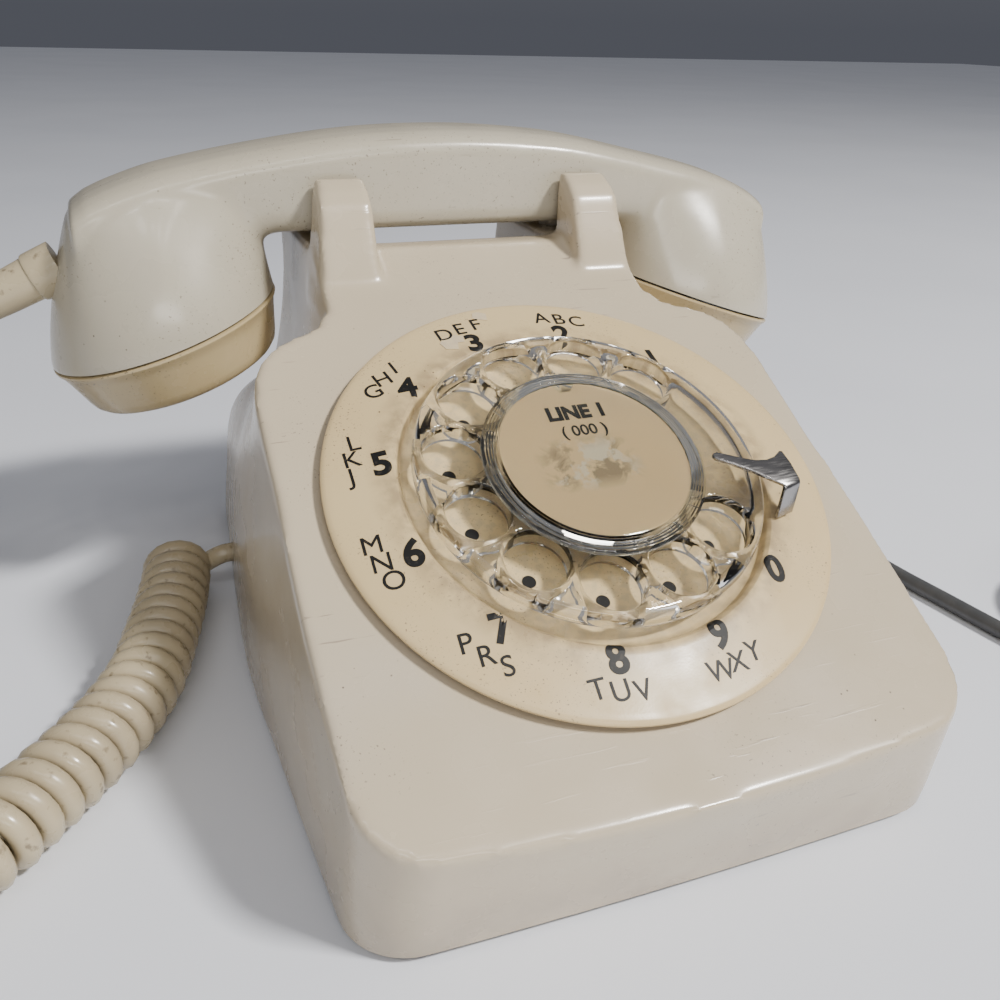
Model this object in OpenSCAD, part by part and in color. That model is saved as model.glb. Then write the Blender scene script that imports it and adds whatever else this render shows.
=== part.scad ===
// Rotary dial desk telephone: moulded housing on a steel base, a tilted dial,
// a handset across a four-horned cradle, and the works inside.
// Frame: X to the right facing the dial, +Y to the back, +Z up, Z = 0 under the feet.

/* [Housing] */
// Depth of the housing, nose to back
body_d = 212; // [206:1:256]
// Width of the housing's lower edge at the front
body_w_front = 130; // [126:1:158]
// Width of the housing's lower edge at its widest, behind the middle
body_w = 139; // [137:1:168]
// Width of the housing's lower edge at the back
body_w_rear = 128; // [122:1:150]
// How far the lower edge sits behind the nose
undercut = 7; // [3:1:10]
// Width across the face
face_w = 126; // [122:1:150]
// Wall of the moulding
wall = 2.8; // [2.2:0.1:3.4]
// Width of the body under the handset
neck_w = 82; // [78:1:86]

/* [Base] */
// Height of the feet under the plate
foot_h = 4.4; // [3.6:0.1:5.4]
// Diameter of a foot
foot_d = 14; // [11:0.5:17]
// Thickness of the base plate
base_t = 1.6; // [1.2:0.1:2.2]

/* [Cradle] */
// Height of the handset pads above the table
saddle_h = 99.5; // [96:0.5:104]
// Gap between the two horns of a pair
horn_gap = 53.6; // [50:0.2:56]
// Width of one horn at its top
horn_w = 12.8; // [10:0.2:14]
// Height of a horn's top above the table
horn_h = 116; // [111:1:122]
// Depth of the hand grip behind the cradle rim
grip_h = 20; // [14:1:26]

/* [Dial] */
// Tilt of the dial face from level
dial_tilt = 28; // [26:1:31]
// Height of the dial centre above the table
dial_h = 70; // [68:1:73]
// Distance of the dial centre behind the nose
dial_back = 62; // [60:1:66]
// Diameter of the number plate
plate_d = 112.6; // [104:0.2:116]
// Diameter of the finger wheel
wheel_d = 76.2; // [72:0.2:78]
// Thickness of the finger wheel
wheel_t = 2.6; // [2:0.1:3.2]
// Radius of the circle of finger holes
hole_r = 29.5; // [28.6:0.1:30]
// Diameter of a finger hole
hole_d = 13.5; // [11:0.1:13.9]
// Diameter of the number card
card_d = 41.6; // [34:0.1:42]
// Radius of the dial shaft
shaft_r = 3; // [2.4:0.1:3.6]

/* [Gears] */
// Module of the gear teeth
gear_m = 0.6; // [0.5:0.05:0.62]
// Teeth on the main gear
main_teeth = 72; // [72]
// Teeth on each pinion
pinion_teeth = 12; // [12]
// Teeth on the intermediate gear
mid_teeth = 48; // [48]

/* [Handset] */
// Length over the two ends
hs_len = 216; // [206:1:262]
// Height of the handle's back above the table
hs_top = 127; // [124:1:132]
// Thickness of the handle, back to underside
handle_t = 24.8; // [22:0.2:26]
// Width of the handle
handle_w = 31; // [26:0.5:32]
// Diameter of an end cap
cap_d = 60; // [54:0.5:66]
// Depth of an end cap
cap_h = 15; // [13:0.5:18]
// Tilt of an end cap from level
cap_tilt = 18; // [14:1:20]

/* [Bell] */
// Diameter of the left gong
gong_left_d = 50; // [44:1:54]
// Diameter of the right gong
gong_right_d = 48; // [44:1:54]
// Height of a gong
gong_h = 13; // [10:0.5:15]

/* [Cords] */
// Outer diameter of the curly handset cord
curl_d = 19; // [19]
// Diameter of the handset cord's straight lead
lead_d = 5.6; // [5.6]
// Diameter of the line cord
line_d = 4.6; // [4.6]

/* [Hidden] */
$fn = 48;

// Clearances
face_gap = 0.3;        // between pieces of different bodies that pass each other
seat_gap = 0.02;       // between a piece and the seat it is pressed or screwed into
run_gap = 0.05;        // radial, between a turning shaft and its bore
plate_gap = 0.8;       // under the number plate's rim, and round the base plate

// Housing
shell_z = foot_h - 0.4;
front_y = -body_d / 2;
back_y = body_d / 2;
dial_y = front_y + dial_back;
face_z = -10.8;        // the face, in the dial's own frame
opening_r = plate_d / 2 - 6;
nose_h = dial_h + (face_z - dial_back * sin(dial_tilt)) / cos(dial_tilt);
corner_r = 15;
front_bow = 3.5;
hs_y = dial_y + 101;   // line of the handset across the cradle
shelf_y = hs_y - 41;   // where the wide front ends, at the top
neck_back_y = hs_y + 24;
widest_y = front_y + 118;
bottom_z = 40;         // top of the full-width part of the body
sweep_top = 96;
grip_y = hs_y - 15;
grip_w = horn_gap - 2.4;

// Base
base_z = foot_h;
base_top = base_z + base_t;
foot_x = body_w_front / 2 - 12.5;
foot_front_y = front_y + 19.6;
foot_back_x = body_w_rear / 2 - 14;
foot_back_y = back_y - 21;
stem_r = 2.5;
boss_r = 4;
screw_r = 1.5;
boss_x = 30;
boss_ys = [front_y + 22, back_y - 10];

// Dial, in its own frame: z = 0 on the finger wheel's top
first_hole = 46.5;
hole_step = 30;
collar_r = hole_d / 2 + 0.85;
collar_z = -5;
wheel_rim_z = -5;
well_z = -8.5;
plate_t = 1.6;
plate_rim_z = -7.7;
ring_r = wheel_d / 2 + 2.2;
frame_z = well_z - plate_t - 0.9;
frame_t = 2;
frame_r = opening_r - 6;
spacer_r = 30;
clamp_r = 8.8;
clamp_t = 0.7;
recess_h = 1.6;
main_gear_z = -21;
mid_gear_z = -25;
gear_t = 1.6;
bridge_z = -35.5;
bridge_t = 1.5;
main_r = gear_m * main_teeth / 2;
pinion_r = gear_m * pinion_teeth / 2;
mid_r = gear_m * mid_teeth / 2;
mid_dist = main_r + pinion_r;
gov_dist = mid_r + pinion_r;
mid_angle = 205;
gov_angle = 320;
mid_at = mid_dist * [cos(mid_angle), sin(mid_angle)];
gov_at = mid_at + gov_dist * [cos(gov_angle), sin(gov_angle)];
mid_shaft_r = 1.5;
gov_shaft_r = 1.2;
cup_r = 10;
cup_h = 6;
post_r = 2;
post_at = [[-8, 32], [33, -8], [-38, 12]];
stop_angle = 340;
stop_foot_r = wheel_d / 2 + 5.4;

// Cradle and hook
horn_x = horn_gap / 2;
pad_x = horn_x + horn_w / 2;
plunger_r = 3.6;
plunger_top = hs_top - handle_t - face_gap;
plunger_foot_z = 88;
hook_y = hs_y - 27;
hook_z = 76;
hook_pin_r = 1.5;
arm_x = pad_x;
arm_t = 2;
hook_plate_y = front_y + 110;
ear_x = arm_x + 4;

// Handset
under_z = hs_top - handle_t;
seat_r = cap_d / 2;
cap_x = hs_len / 2 - 30.5;
seat_z = 78.5;
cup_deep = 20;

// Bell
gong_y = hs_y - 21;
gong_x = 30;
gong_z = 14;
gong_t = 1.4;
clapper_y = gong_y + 30;
clapper_z = gong_z + 3.5;
coil_y = clapper_y + 13;
coil_r = 10.5;
coil_x = -21;
coil_l = 26;
network_x = 16;
network_w = 40;
network_l = 19.5;
network_h = 22;
volume_at = [50, hs_y - 62];

// Cord routes, along the middle of each cord
relief_at = [-106, 57, 92];
relief_l = 24;
relief_slope = 25;
upper_route = [[-128.2, 57, 81.6], [-134.6, 57, 78.4], [-141, 57, 74], [-146.8, 56.6, 68], [-151, 56, 61]];
curl_route = [[-151, 56, 61], [-154, 55, 54], [-158, 52.5, 45], [-163, 48.5, 35], [-170, 42, 25],
    [-179, 32, 16.5], [-189, 18, 11], [-196, 1, 9.6], [-198, -18, 9.6], [-193, -37, 9.6],
    [-181, -52, 9.6], [-165, -61, 9.6], [-148, -62, 9.6], [-135, -56.5, 9.6], [-126, -49.4, 9.6],
    [-116.8, -38.9, 9.6], [-108.4, -28.8, 9.6], [-100.5, -17.2, 9.6], [-93.9, -3.5, 9.6],
    [-89.6, 12, 9.6], [-85.7, 28, 9.6], [-83.4, 40, 10], [-82, 50, 11]];
lower_route = [[-76, 47, 12], [-72, 46.5, 12], [-68, 46.2, 12], [-64, 46, 12], [-60, 46, 12]];
lead_exit_y = 46;
exit_z = 12;
line_exit_x = 46;
line_route = [[46, 120, 12], [48, 130, 9], [54, 140, 4], [66, 146, 2.5], [82, 144, 2.5],
    [97, 131, 2.5], [107, 112, 2.5], [113, 88, 2.5], [117, 62, 2.5], [120, 36, 2.5],
    [122, 10, 2.5], [124, -12, 2.5], [127, -30, 2.5], [130, -48, 2.5], [133, -62, 2.5],
    [140, -74, 2.5], [151, -83, 2.5], [163, -87, 2.5], [175, -88, 2.5]];
line_ring_r = 26;
line_ring_w = 14;
line_ring_at = [175, -62];

// ---------------------------------------------------------------- helpers
module in_dial() { translate([0, dial_y, dial_h]) rotate([dial_tilt, 0, 0]) children(); }
module sides() { for (s = [-1, 1]) scale([s, 1, 1]) children(); }
module at_end(s) {
    translate([s * cap_x, hs_y, seat_z]) rotate([0, s * cap_tilt, 0]) children();
}
module along_x(l, r) { rotate([0, 90, 0]) cylinder(h = l, r = r, center = true); }
module disc(z0, z1, r) { translate([0, 0, z0]) cylinder(h = z1 - z0, r = r); }
module box(lo, hi) { translate(lo) cube(hi - lo); }

// Straight-sided gear teeth, a little thin for backlash
module gear(teeth, z, t, turn = 0) {
    r = gear_m * teeth / 2;
    tip = r + 0.75 * gear_m;
    root = r - 1.05 * gear_m;
    step = 360 / teeth;
    points = [for (i = [0:teeth - 1], k = [[-0.30, root], [-0.10, tip], [0.10, tip], [0.30, root]])
        let (a = (i + k[0]) * step + turn) k[1] * [cos(a), sin(a)]];
    translate([0, 0, z]) linear_extrude(t) polygon(points);
}

// A close-wound coil spring, its turns merged, standing on z = 0
module coil_spring(r, wire, turns) {
    rotate_extrude() for (i = [0:turns - 1]) translate([r, wire * (0.5 + 0.92 * i)])
        circle(d = wire, $fn = 16);
}

// Sweep of a round cord along a list of points
function unit(v) = v / norm(v);
function tangent(p, i) = unit(p[min(i + 1, len(p) - 1)] - p[max(i - 1, 0)]);
function ring(c, t, r, n) =
    let (u = unit(cross(t, abs(t[2]) > 0.9 ? [1, 0, 0] : [0, 0, 1])), v = cross(u, t))
    [for (k = [0:n - 1]) c + r * (cos(360 * k / n) * u + sin(360 * k / n) * v)];
module cord(p, r, n) {
    m = len(p);
    polyhedron([for (i = [0:m - 1]) each ring(p[i], tangent(p, i), r, n)],
        concat([[for (k = [0:n - 1]) k]],
            [for (i = [0:m - 2], k = [0:n - 1])
                [i * n + k, (i + 1) * n + k, (i + 1) * n + (k + 1) % n, i * n + (k + 1) % n]],
            [[for (k = [n - 1:-1:0]) (m - 1) * n + k]]), convexity = 10);
}

// ---------------------------------------------------------------- housing and base
// A level of the body: [height, front, back, half widths in front, at the widest and at
// the back, corner radius]
module level(v, inset) {
    z = v[0];
    r = v[6] - inset;
    for (s = [-1, 1]) {
        translate([s * (v[3] - inset - r), v[1] + inset + r + front_bow, z]) cylinder(h = 0.01, r = r, $fn = 32);
        translate([s * v[3] * 0.3, v[1] + inset + r, z]) cylinder(h = 0.01, r = r, $fn = 32);
        translate([s * (v[4] - inset - r), min(widest_y, v[2] - inset - r), z]) cylinder(h = 0.01, r = r, $fn = 32);
        translate([s * (v[5] - inset - r), v[2] - inset - r, z]) cylinder(h = 0.01, r = r, $fn = 32);
    }
}
module loft(levels, inset) {
    for (i = [0:len(levels) - 2]) hull() {
        level(levels[i], inset);
        level(levels[i + 1], inset);
    }
}
// The wide front, whose back sweeps forward as it rises under the handset's ends
function front_levels(bottom) = let (f = face_w / 2, b = body_w / 2, w = body_w_rear / 2) [
    [bottom, front_y + undercut, back_y, body_w_front / 2, b, w, corner_r],
    [nose_h, front_y, back_y - 4, f + 3, b - 1, w - 2, corner_r],
    [bottom_z, front_y, back_y - 12, f + 2, b - 3, w - 4, corner_r],
    [bottom_z + 8, front_y, hs_y + 29, f + 1.4, b - 6, w - 8, corner_r],
    [bottom_z + 16, front_y, hs_y + 10, f + 1, f - 2, w - 14, corner_r],
    [sweep_top - 30, front_y, hs_y - 14, f + 0.5, f - 10, w - 18, corner_r],
    [sweep_top - 14, front_y, hs_y - 32, f, f - 14, w - 20, corner_r],
    [sweep_top, front_y, shelf_y, f, f - 18, w - 22, corner_r]];
// The neck that carries the cradle
function neck_levels(bottom, top) = let (w = neck_w / 2) [
    [bottom, dial_y, back_y - 2, w + 16, w + 16, w + 16, corner_r],
    [nose_h, dial_y, back_y - 7, w + 12, w + 12, w + 12, corner_r],
    [bottom_z + 16, dial_y, neck_back_y + 12, w + 3, w + 3, w + 2, 9],
    [saddle_h - 15, dial_y, neck_back_y + 4, w + 0.5, w + 0.5, w, 6],
    [top, dial_y, neck_back_y, w, w, w, 5]];
module body_solid(inset, bottom) {
    difference() {
        union() {
            loft(front_levels(bottom), inset);
            loft(neck_levels(bottom, saddle_h - inset), inset);
        }
        in_dial() translate([-150, -150, face_z - inset]) cube([300, 300, 100]);
        box([-grip_w / 2 - inset, grip_y - inset, saddle_h - grip_h - inset],
            [grip_w / 2 + inset, back_y + 50, saddle_h + 40]);
    }
}
// One horn, from the saddle up, in front of the handset
module horn() {
    y = hs_y - handle_w / 2 - 0.9;
    translate([horn_x, 0, 0]) rotate([90, 0, 90]) linear_extrude(horn_w)
        polygon([[y - 20, saddle_h - 17], [y - 15, saddle_h - 8.5], [y - 8.8, horn_h - 4.5],
            [y - 3.3, horn_h], [y, horn_h], [y, saddle_h - 17]]);
}
module horns() {
    sides() horn();
    translate([0, 2 * hs_y, 0]) mirror([0, 1, 0]) intersection() {
        sides() horn();
        box([-60, hs_y - handle_w / 2 - 15, 0], [60, hs_y, 200]);
    }
}
module housing() {
    color([0.80, 0.76, 0.69]) {
        difference() {
            union() {
                body_solid(0, shell_z);
                horns();
            }
            difference() {
                body_solid(wall, shell_z - 1);
                for (x = [-boss_x, boss_x], y = boss_ys)
                    translate([x, y, base_top]) cylinder(h = 60, r = boss_r);
            }
            for (x = [-boss_x, boss_x], y = boss_ys)
                translate([x, y, shell_z - 1]) cylinder(h = 14, r = screw_r + 0.1);
            in_dial() disc(-20, 20, opening_r);
            for (x = [-pad_x, pad_x])
                translate([x, hs_y, saddle_h - 10]) cylinder(h = 20, r = plunger_r + face_gap);
            translate([-body_w / 2, lead_exit_y, exit_z]) along_x(24, lead_d / 2 + 0.6);
            translate([line_exit_x, back_y, exit_z]) rotate([90, 0, 0])
                cylinder(h = 30, r = line_d / 2 + 1.9, center = true);
        }
    }
}
module base_plate() {
    color([0.45, 0.45, 0.46]) difference() {
        translate([0, 0, base_z]) linear_extrude(base_t) plate_outline();
        foot_places() cylinder(h = 30, r = stem_r + seat_gap, center = true);
        for (x = [-boss_x, boss_x], y = boss_ys)
            translate([x, y, 0]) cylinder(h = 30, r = screw_r + 0.1);
        translate([volume_at[0] - 4, volume_at[1] - 12, 0]) cube([14, 5, 20]);
    }
}
// The base plate's outline: the housing's lower edge, less its wall and a gap
module plate_outline() {
    i = wall + plate_gap;
    r = corner_r - i;
    hull() for (s = [-1, 1]) {
        translate([s * (body_w_front / 2 - i - r), front_y + undercut + i + r + front_bow]) circle(r = r, $fn = 32);
        translate([s * body_w_front * 0.15, front_y + undercut + i + r]) circle(r = r, $fn = 32);
        translate([s * (body_w / 2 - i - r), widest_y]) circle(r = r, $fn = 32);
        translate([s * (body_w_rear / 2 - i - r), back_y - i - r]) circle(r = r, $fn = 32);
    }
}
module foot_places() {
    for (x = [-foot_x, foot_x]) translate([x, foot_front_y, 0]) children();
    for (x = [-foot_back_x, foot_back_x]) translate([x, foot_back_y, 0]) children();
}
module feet() {
    color([0.05, 0.05, 0.05]) foot_places() {
        cylinder(h = shell_z - 0.1, r1 = foot_d / 2 - 0.6, r2 = foot_d / 2);
        disc(shell_z - 0.1, foot_h, stem_r + 1.2);
        disc(foot_h, base_top, stem_r);
        disc(base_top, base_top + 1.4, stem_r + 1.2);
    }
}
module housing_screws() {
    color("silver") for (x = [-boss_x, boss_x], y = boss_ys) translate([x, y, 0]) difference() {
        union() {
            disc(base_z - 1.6, base_z, 3.2);
            disc(base_z, base_z + 10, screw_r);
        }
        translate([0, 0, base_z - 1.6]) cube([5, 0.8, 1.4], center = true);
    }
}

// ---------------------------------------------------------------- dial
module hole_places() {
    for (i = [0:9]) rotate(first_hole + i * hole_step) translate([hole_r, 0, 0]) children();
}
module number_plate() {
    r = plate_d / 2;
    color([0.80, 0.72, 0.55]) in_dial() rotate_extrude($fn = 96) polygon([
        [shaft_r + 4, well_z], [ring_r, well_z], [ring_r + 0.8, plate_rim_z + 2.4],
        [ring_r + 5, plate_rim_z + 1.9], [r - 6, plate_rim_z + 0.7], [r - 1.6, plate_rim_z],
        [r - 0.4, plate_rim_z - 0.5], [r, plate_rim_z - 1.4], [r, face_z + plate_gap],
        [r - 1.2, face_z + plate_gap], [r - 2, plate_rim_z - plate_t],
        [r - 6, plate_rim_z + 0.7 - plate_t], [ring_r + 5, plate_rim_z + 1.9 - plate_t],
        [ring_r + 2.2, well_z - plate_t], [shaft_r + 4, well_z - plate_t]]);
}
module finger_wheel() {
    r = wheel_d / 2;
    color([0.86, 0.85, 0.80, 0.35]) in_dial() difference() {
        union() {
            rotate_extrude($fn = 96) polygon([[shaft_r + 0.1, -wheel_t], [r - 3, -wheel_t],
                [r - 2, wheel_rim_z], [r - 0.4, wheel_rim_z], [r, wheel_rim_z + 0.8],
                [r - 0.2, -1.6], [r - 1.4, -0.4], [r - 3, 0], [shaft_r + 0.1, 0]]);
            hole_places() disc(collar_z, -0.1, collar_r);
        }
        hole_places() disc(collar_z - 1, 1, hole_d / 2);
        disc(-recess_h, 1, clamp_r + 0.2);
    }
}
module number_card() {
    color([0.86, 0.78, 0.63]) in_dial() disc(0.1, 0.5, card_d / 2);
}
module card_retainer() {
    r = card_d / 2 + 3.5;
    color([0.9, 0.9, 0.88, 0.35]) in_dial() rotate_extrude($fn = 96) polygon([[0, 0.6],
        [card_d / 2 + 0.2, 0.6], [card_d / 2 + 0.2, seat_gap], [r, seat_gap], [r, 1.2],
        [r - 1, 1.8], [0, 1.8]]);
}
module wheel_clamp() {
    color("silver") in_dial() difference() {
        disc(-recess_h, clamp_t - recess_h, clamp_r);
        disc(-5, 5, screw_r + 0.1);
    }
}
module hub_screw() {
    color("silver") in_dial() difference() {
        union() {
            disc(clamp_t - recess_h, -0.1, 3);
            disc(-10, clamp_t - recess_h, screw_r);
        }
        translate([0, 0, -0.1]) cube([7, 0.7, 0.8], center = true);
    }
}
module finger_stop() {
    color([0.6, 0.6, 0.62]) in_dial() rotate(stop_angle) {
        translate([stop_foot_r, 0, 0]) {
            box([-0.6, -5, plate_rim_z + 2.6], [0.6, 3, 2.4]);
            box([-0.6, -5, plate_rim_z + 2.6], [4.4, 3, plate_rim_z + 3.6]);
        }
        stop_blade();
    }
}
// The blade that reaches over the wheel and stops the finger
module stop_blade() {
    translate([0, 0, 1.4]) linear_extrude(1) polygon([[stop_foot_r + 0.6, -5], [stop_foot_r + 0.6, 8],
        [stop_foot_r - 1.4, 8.6], [stop_foot_r - 4, 6.2], [stop_foot_r - 8, 5], [stop_foot_r - 15.6, 5.2],
        [stop_foot_r - 16.6, 4.2], [stop_foot_r - 16.4, 2.6], [stop_foot_r - 15, 2], [stop_foot_r - 6, -1.6]]);
}
module dial_frame() {
    color([0.55, 0.55, 0.52]) in_dial() difference() {
        union() {
            disc(frame_z - frame_t, frame_z, frame_r);
            disc(frame_z - 4, frame_z, shaft_r + 3.4);
            for (a = [30, 150, 270]) rotate(a) translate([spacer_r, 0, 0])
                disc(frame_z, well_z - plate_t, 2.5);
        }
        disc(-60, 0, shaft_r + run_gap);
        translate(mid_at) disc(-60, 0, mid_shaft_r + run_gap);
        translate(gov_at) disc(-60, 0, gov_shaft_r + run_gap);
    }
}
module dial_bridge() {
    color([0.62, 0.58, 0.45]) in_dial() difference() {
        union() {
            translate([0, 0, bridge_z - bridge_t]) linear_extrude(bridge_t) {
                hull() { circle(6); translate(mid_at) circle(5); }
                hull() { translate(mid_at) circle(5); translate(gov_at) circle(cup_r); }
                for (p = post_at) hull() { circle(6); translate(p) circle(3.2); }
            }
            for (p = post_at) translate(p) disc(bridge_z, frame_z - frame_t, post_r);
        }
        disc(-60, 0, shaft_r + run_gap);
        translate(mid_at) disc(-60, 0, mid_shaft_r + run_gap);
        translate(gov_at) disc(-60, 0, gov_shaft_r + run_gap);
    }
}
// Two upright plates that carry the dial from the base
module dial_brackets() {
    x = frame_r - 2.2;
    top = frame_z - frame_t;
    function in_row(y) = [dial_y + y * cos(dial_tilt) - top * sin(dial_tilt),
        dial_h + y * sin(dial_tilt) + top * cos(dial_tilt)];
    color([0.6, 0.6, 0.58]) sides() {
        translate([x, 0, 0]) rotate([90, 0, 90]) linear_extrude(base_t) polygon([
            [dial_y - 18, base_top], [dial_y + 24, base_top], in_row(8), in_row(-8)]);
        box([x - 10, dial_y - 18, base_top], [x, dial_y + 24, base_top + base_t]);
    }
}
module dial_shaft() {
    color("silver") in_dial() difference() {
        union() {
            disc(bridge_z - bridge_t - 1.5, -wheel_t, shaft_r);
            disc(-wheel_t - 2.6, -wheel_t, 7);
        }
        disc(-11, 0, screw_r + seat_gap);
    }
}
module main_gear() {
    color([0.72, 0.60, 0.30]) in_dial() difference() {
        union() {
            gear(main_teeth, main_gear_z, gear_t, mid_angle);
            disc(main_gear_z - 2.5, main_gear_z + 3, 5.6);
        }
        disc(-60, 0, shaft_r + seat_gap);
    }
}
module return_spring() {
    color([0.35, 0.35, 0.37]) in_dial() translate([0, 0, -17.4]) coil_spring(7.6, 0.9, 5);
}
module mid_shaft() {
    color("silver") in_dial() translate(mid_at) {
        disc(bridge_z - bridge_t - 0.5, frame_z, mid_shaft_r);
        gear(pinion_teeth, main_gear_z - 0.3, gear_t + 0.6, mid_angle + 180 + 180 / pinion_teeth);
    }
}
module mid_gear() {
    color([0.72, 0.60, 0.30]) in_dial() translate(mid_at) difference() {
        union() {
            gear(mid_teeth, mid_gear_z, gear_t, gov_angle);
            disc(mid_gear_z - 0.6, mid_gear_z + 2.4, 3);
        }
        disc(-60, 0, mid_shaft_r + seat_gap);
    }
}
module pulse_cam() {
    color([0.50, 0.25, 0.12]) in_dial() translate(mid_at) difference() {
        translate([0, 0, mid_gear_z - 4.6]) linear_extrude(2.4) hull() {
            circle(3.2);
            for (s = [-1, 1]) rotate(mid_angle) translate([s * 2.6, 0]) circle(1.8);
        }
        disc(-60, 0, mid_shaft_r + seat_gap);
    }
}
module pulse_contacts() {
    color([0.75, 0.68, 0.45]) in_dial() translate(mid_at) rotate(mid_angle + 90) {
        for (i = [0:2]) box([-14, 5.6 + 1.8 * i, mid_gear_z - 4.4], [4, 6.1 + 1.8 * i, mid_gear_z - 2]);
        box([-16, 5, mid_gear_z - 5], [-10, 10.4, mid_gear_z - 1.6]);
        box([-16, 5, bridge_z], [-10, 10.4, mid_gear_z - 5]);
    }
}
module governor_shaft() {
    color("silver") in_dial() translate(gov_at) {
        disc(bridge_z - bridge_t - 0.5, frame_z, gov_shaft_r);
        gear(pinion_teeth, mid_gear_z - 0.3, gear_t + 0.6, gov_angle + 180 + 180 / pinion_teeth);
    }
}
module governor_weights() {
    color([0.72, 0.60, 0.30]) in_dial() translate(gov_at) difference() {
        union() {
            disc(bridge_z + 2, bridge_z + 4.6, 2.6);
            for (a = [0, 180]) rotate(a) translate([2, -2.2, bridge_z + 2]) cube([cup_r - 5, 4.4, 2.6]);
        }
        disc(-60, 0, gov_shaft_r + seat_gap);
    }
}
module governor_cup() {
    color([0.65, 0.62, 0.55]) in_dial() translate(gov_at) difference() {
        disc(bridge_z, bridge_z + cup_h, cup_r);
        disc(bridge_z + 1, bridge_z + cup_h + 1, cup_r - 1);
        disc(-60, 0, gov_shaft_r + run_gap);
    }
}

// ---------------------------------------------------------------- hook switch
module hook_bracket() {
    y = hook_plate_y;
    color([0.6, 0.6, 0.58]) difference() {
        union() {
            box([-20, y, base_top], [20, y + base_t, 66]);
            box([-20, y - 14, base_top], [20, y, base_top + base_t]);
            box([-ear_x, y, 64.5], [ear_x, hook_y + 5, 66]);
            sides() box([ear_x - base_t, hook_y - 5, 64.5], [ear_x, hook_y + 5, hook_z + 5]);
        }
        translate([0, hook_y, hook_z]) along_x(200, hook_pin_r + seat_gap);
    }
}
module hook_pin() {
    color("silver") translate([0, hook_y, hook_z]) along_x(2 * ear_x + 2, hook_pin_r);
}
module hook_lever() {
    color([0.66, 0.66, 0.64]) difference() {
        union() {
            sides() translate([arm_x - arm_t / 2, 0, 0]) rotate([90, 0, 90]) linear_extrude(arm_t)
                polygon([[hook_y - 4, hook_z - 4], [hook_y + 5, hook_z - 4], [hs_y + 4, plunger_foot_z - 3.4],
                    [hs_y + 4, plunger_foot_z - face_gap], [hs_y - 4, plunger_foot_z - face_gap],
                    [hook_y - 1, hook_z + 4], [hook_y - 4, hook_z + 2]]);
            translate([0, hook_y, hook_z]) along_x(2 * arm_x + arm_t, 3.2);
        }
        translate([0, hook_y, hook_z]) along_x(200, hook_pin_r + run_gap);
    }
}
module hook_spring() {
    color([0.35, 0.35, 0.37]) translate([12, hook_y, hook_z]) rotate([0, 90, 0])
        coil_spring(4.4, 1, 6);
}
module hook_contacts() {
    color([0.75, 0.68, 0.45]) {
        for (i = [0:3]) box([-14, hook_plate_y + 4, 67.4 + 1.6 * i], [-8, hook_y - 6, 67.9 + 1.6 * i]);
        box([-15, hook_plate_y + 2, 66], [-7, hook_plate_y + 9, 74.4]);
    }
}
module plunger() {
    color([0.85, 0.84, 0.80]) {
        disc(plunger_foot_z, plunger_top - 1, plunger_r);
        disc(plunger_top - 1, plunger_top, plunger_r - 0.8);
        disc(plunger_foot_z, plunger_foot_z + 1.2, plunger_r + 0.8);
    }
}
module plunger_left() { translate([-pad_x, hs_y, 0]) plunger(); }
module plunger_right() { translate([pad_x, hs_y, 0]) plunger(); }

// ---------------------------------------------------------------- bell and network
module ringer_frame() {
    color([0.6, 0.6, 0.58]) {
        box([-gong_x - 5, gong_y - 5, base_top], [gong_x + 5, gong_y + 5, base_top + base_t]);
        box([-10, gong_y + 5, base_top], [10, coil_y - 12, base_top + base_t]);
        box([coil_x - 16, coil_y - 12, base_top], [12, coil_y + 12, base_top + base_t]);
        for (x = [-gong_x, gong_x]) translate([x, gong_y, 0])
            disc(base_top + base_t, gong_z + gong_h - gong_t, 2.4);
    }
}
module gong(d) {
    r = d / 2;
    rotate_extrude($fn = 72) polygon([[screw_r + 0.1, gong_h - gong_t], [r * 0.45, gong_h - gong_t],
        [r * 0.82, gong_h * 0.72 - gong_t * 0.4], [r - gong_t, gong_h * 0.34], [r - gong_t, 0], [r, 0],
        [r, gong_h * 0.42], [r * 0.88, gong_h * 0.80], [r * 0.5, gong_h], [screw_r + 0.1, gong_h]]);
}
module gong_left() {
    color([0.78, 0.70, 0.48]) translate([-gong_x, gong_y, gong_z]) gong(gong_left_d);
}
module gong_right() {
    color([0.78, 0.70, 0.48]) translate([gong_x, gong_y, gong_z]) gong(gong_right_d);
}
module gong_screws() {
    color("silver") for (x = [-gong_x, gong_x]) translate([x, gong_y, gong_z + gong_h]) difference() {
        disc(0, 1.8, 3.2);
        translate([0, 0, 1.8]) cube([7, 0.8, 1.4], center = true);
    }
}
module ringer_coil() {
    z = base_top + base_t + coil_r + 2.4;
    color([0.45, 0.16, 0.10]) translate([coil_x, coil_y, z]) difference() {
        union() {
            along_x(coil_l, coil_r);
            for (s = [-1, 1]) translate([s * (coil_l / 2 - 0.6), 0, 0]) along_x(1.2, coil_r + 2);
        }
        along_x(100, 3.5 + seat_gap);
    }
}
module ringer_core() {
    z = base_top + base_t + coil_r + 2.4;
    color([0.5, 0.5, 0.5]) {
        translate([coil_x + 2, coil_y, z]) along_x(coil_l + 12, 3.5);
        box([coil_x + coil_l / 2 + 8, coil_y - 6, base_top + base_t], [coil_x + coil_l / 2 + 11, coil_y + 4, z + 4]);
        box([coil_x - coil_l / 2 - 3, coil_y - 6, base_top + base_t], [coil_x - coil_l / 2 - 1, coil_y + 4, z + 4]);
    }
}
module ringer_magnet() {
    color([0.25, 0.25, 0.27]) box([coil_x + coil_l / 2 + 11 + 2, coil_y - 2, base_top + base_t],
        [coil_x + coil_l / 2 + 18, coil_y + 12, base_top + base_t + 12]);
}
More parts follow.
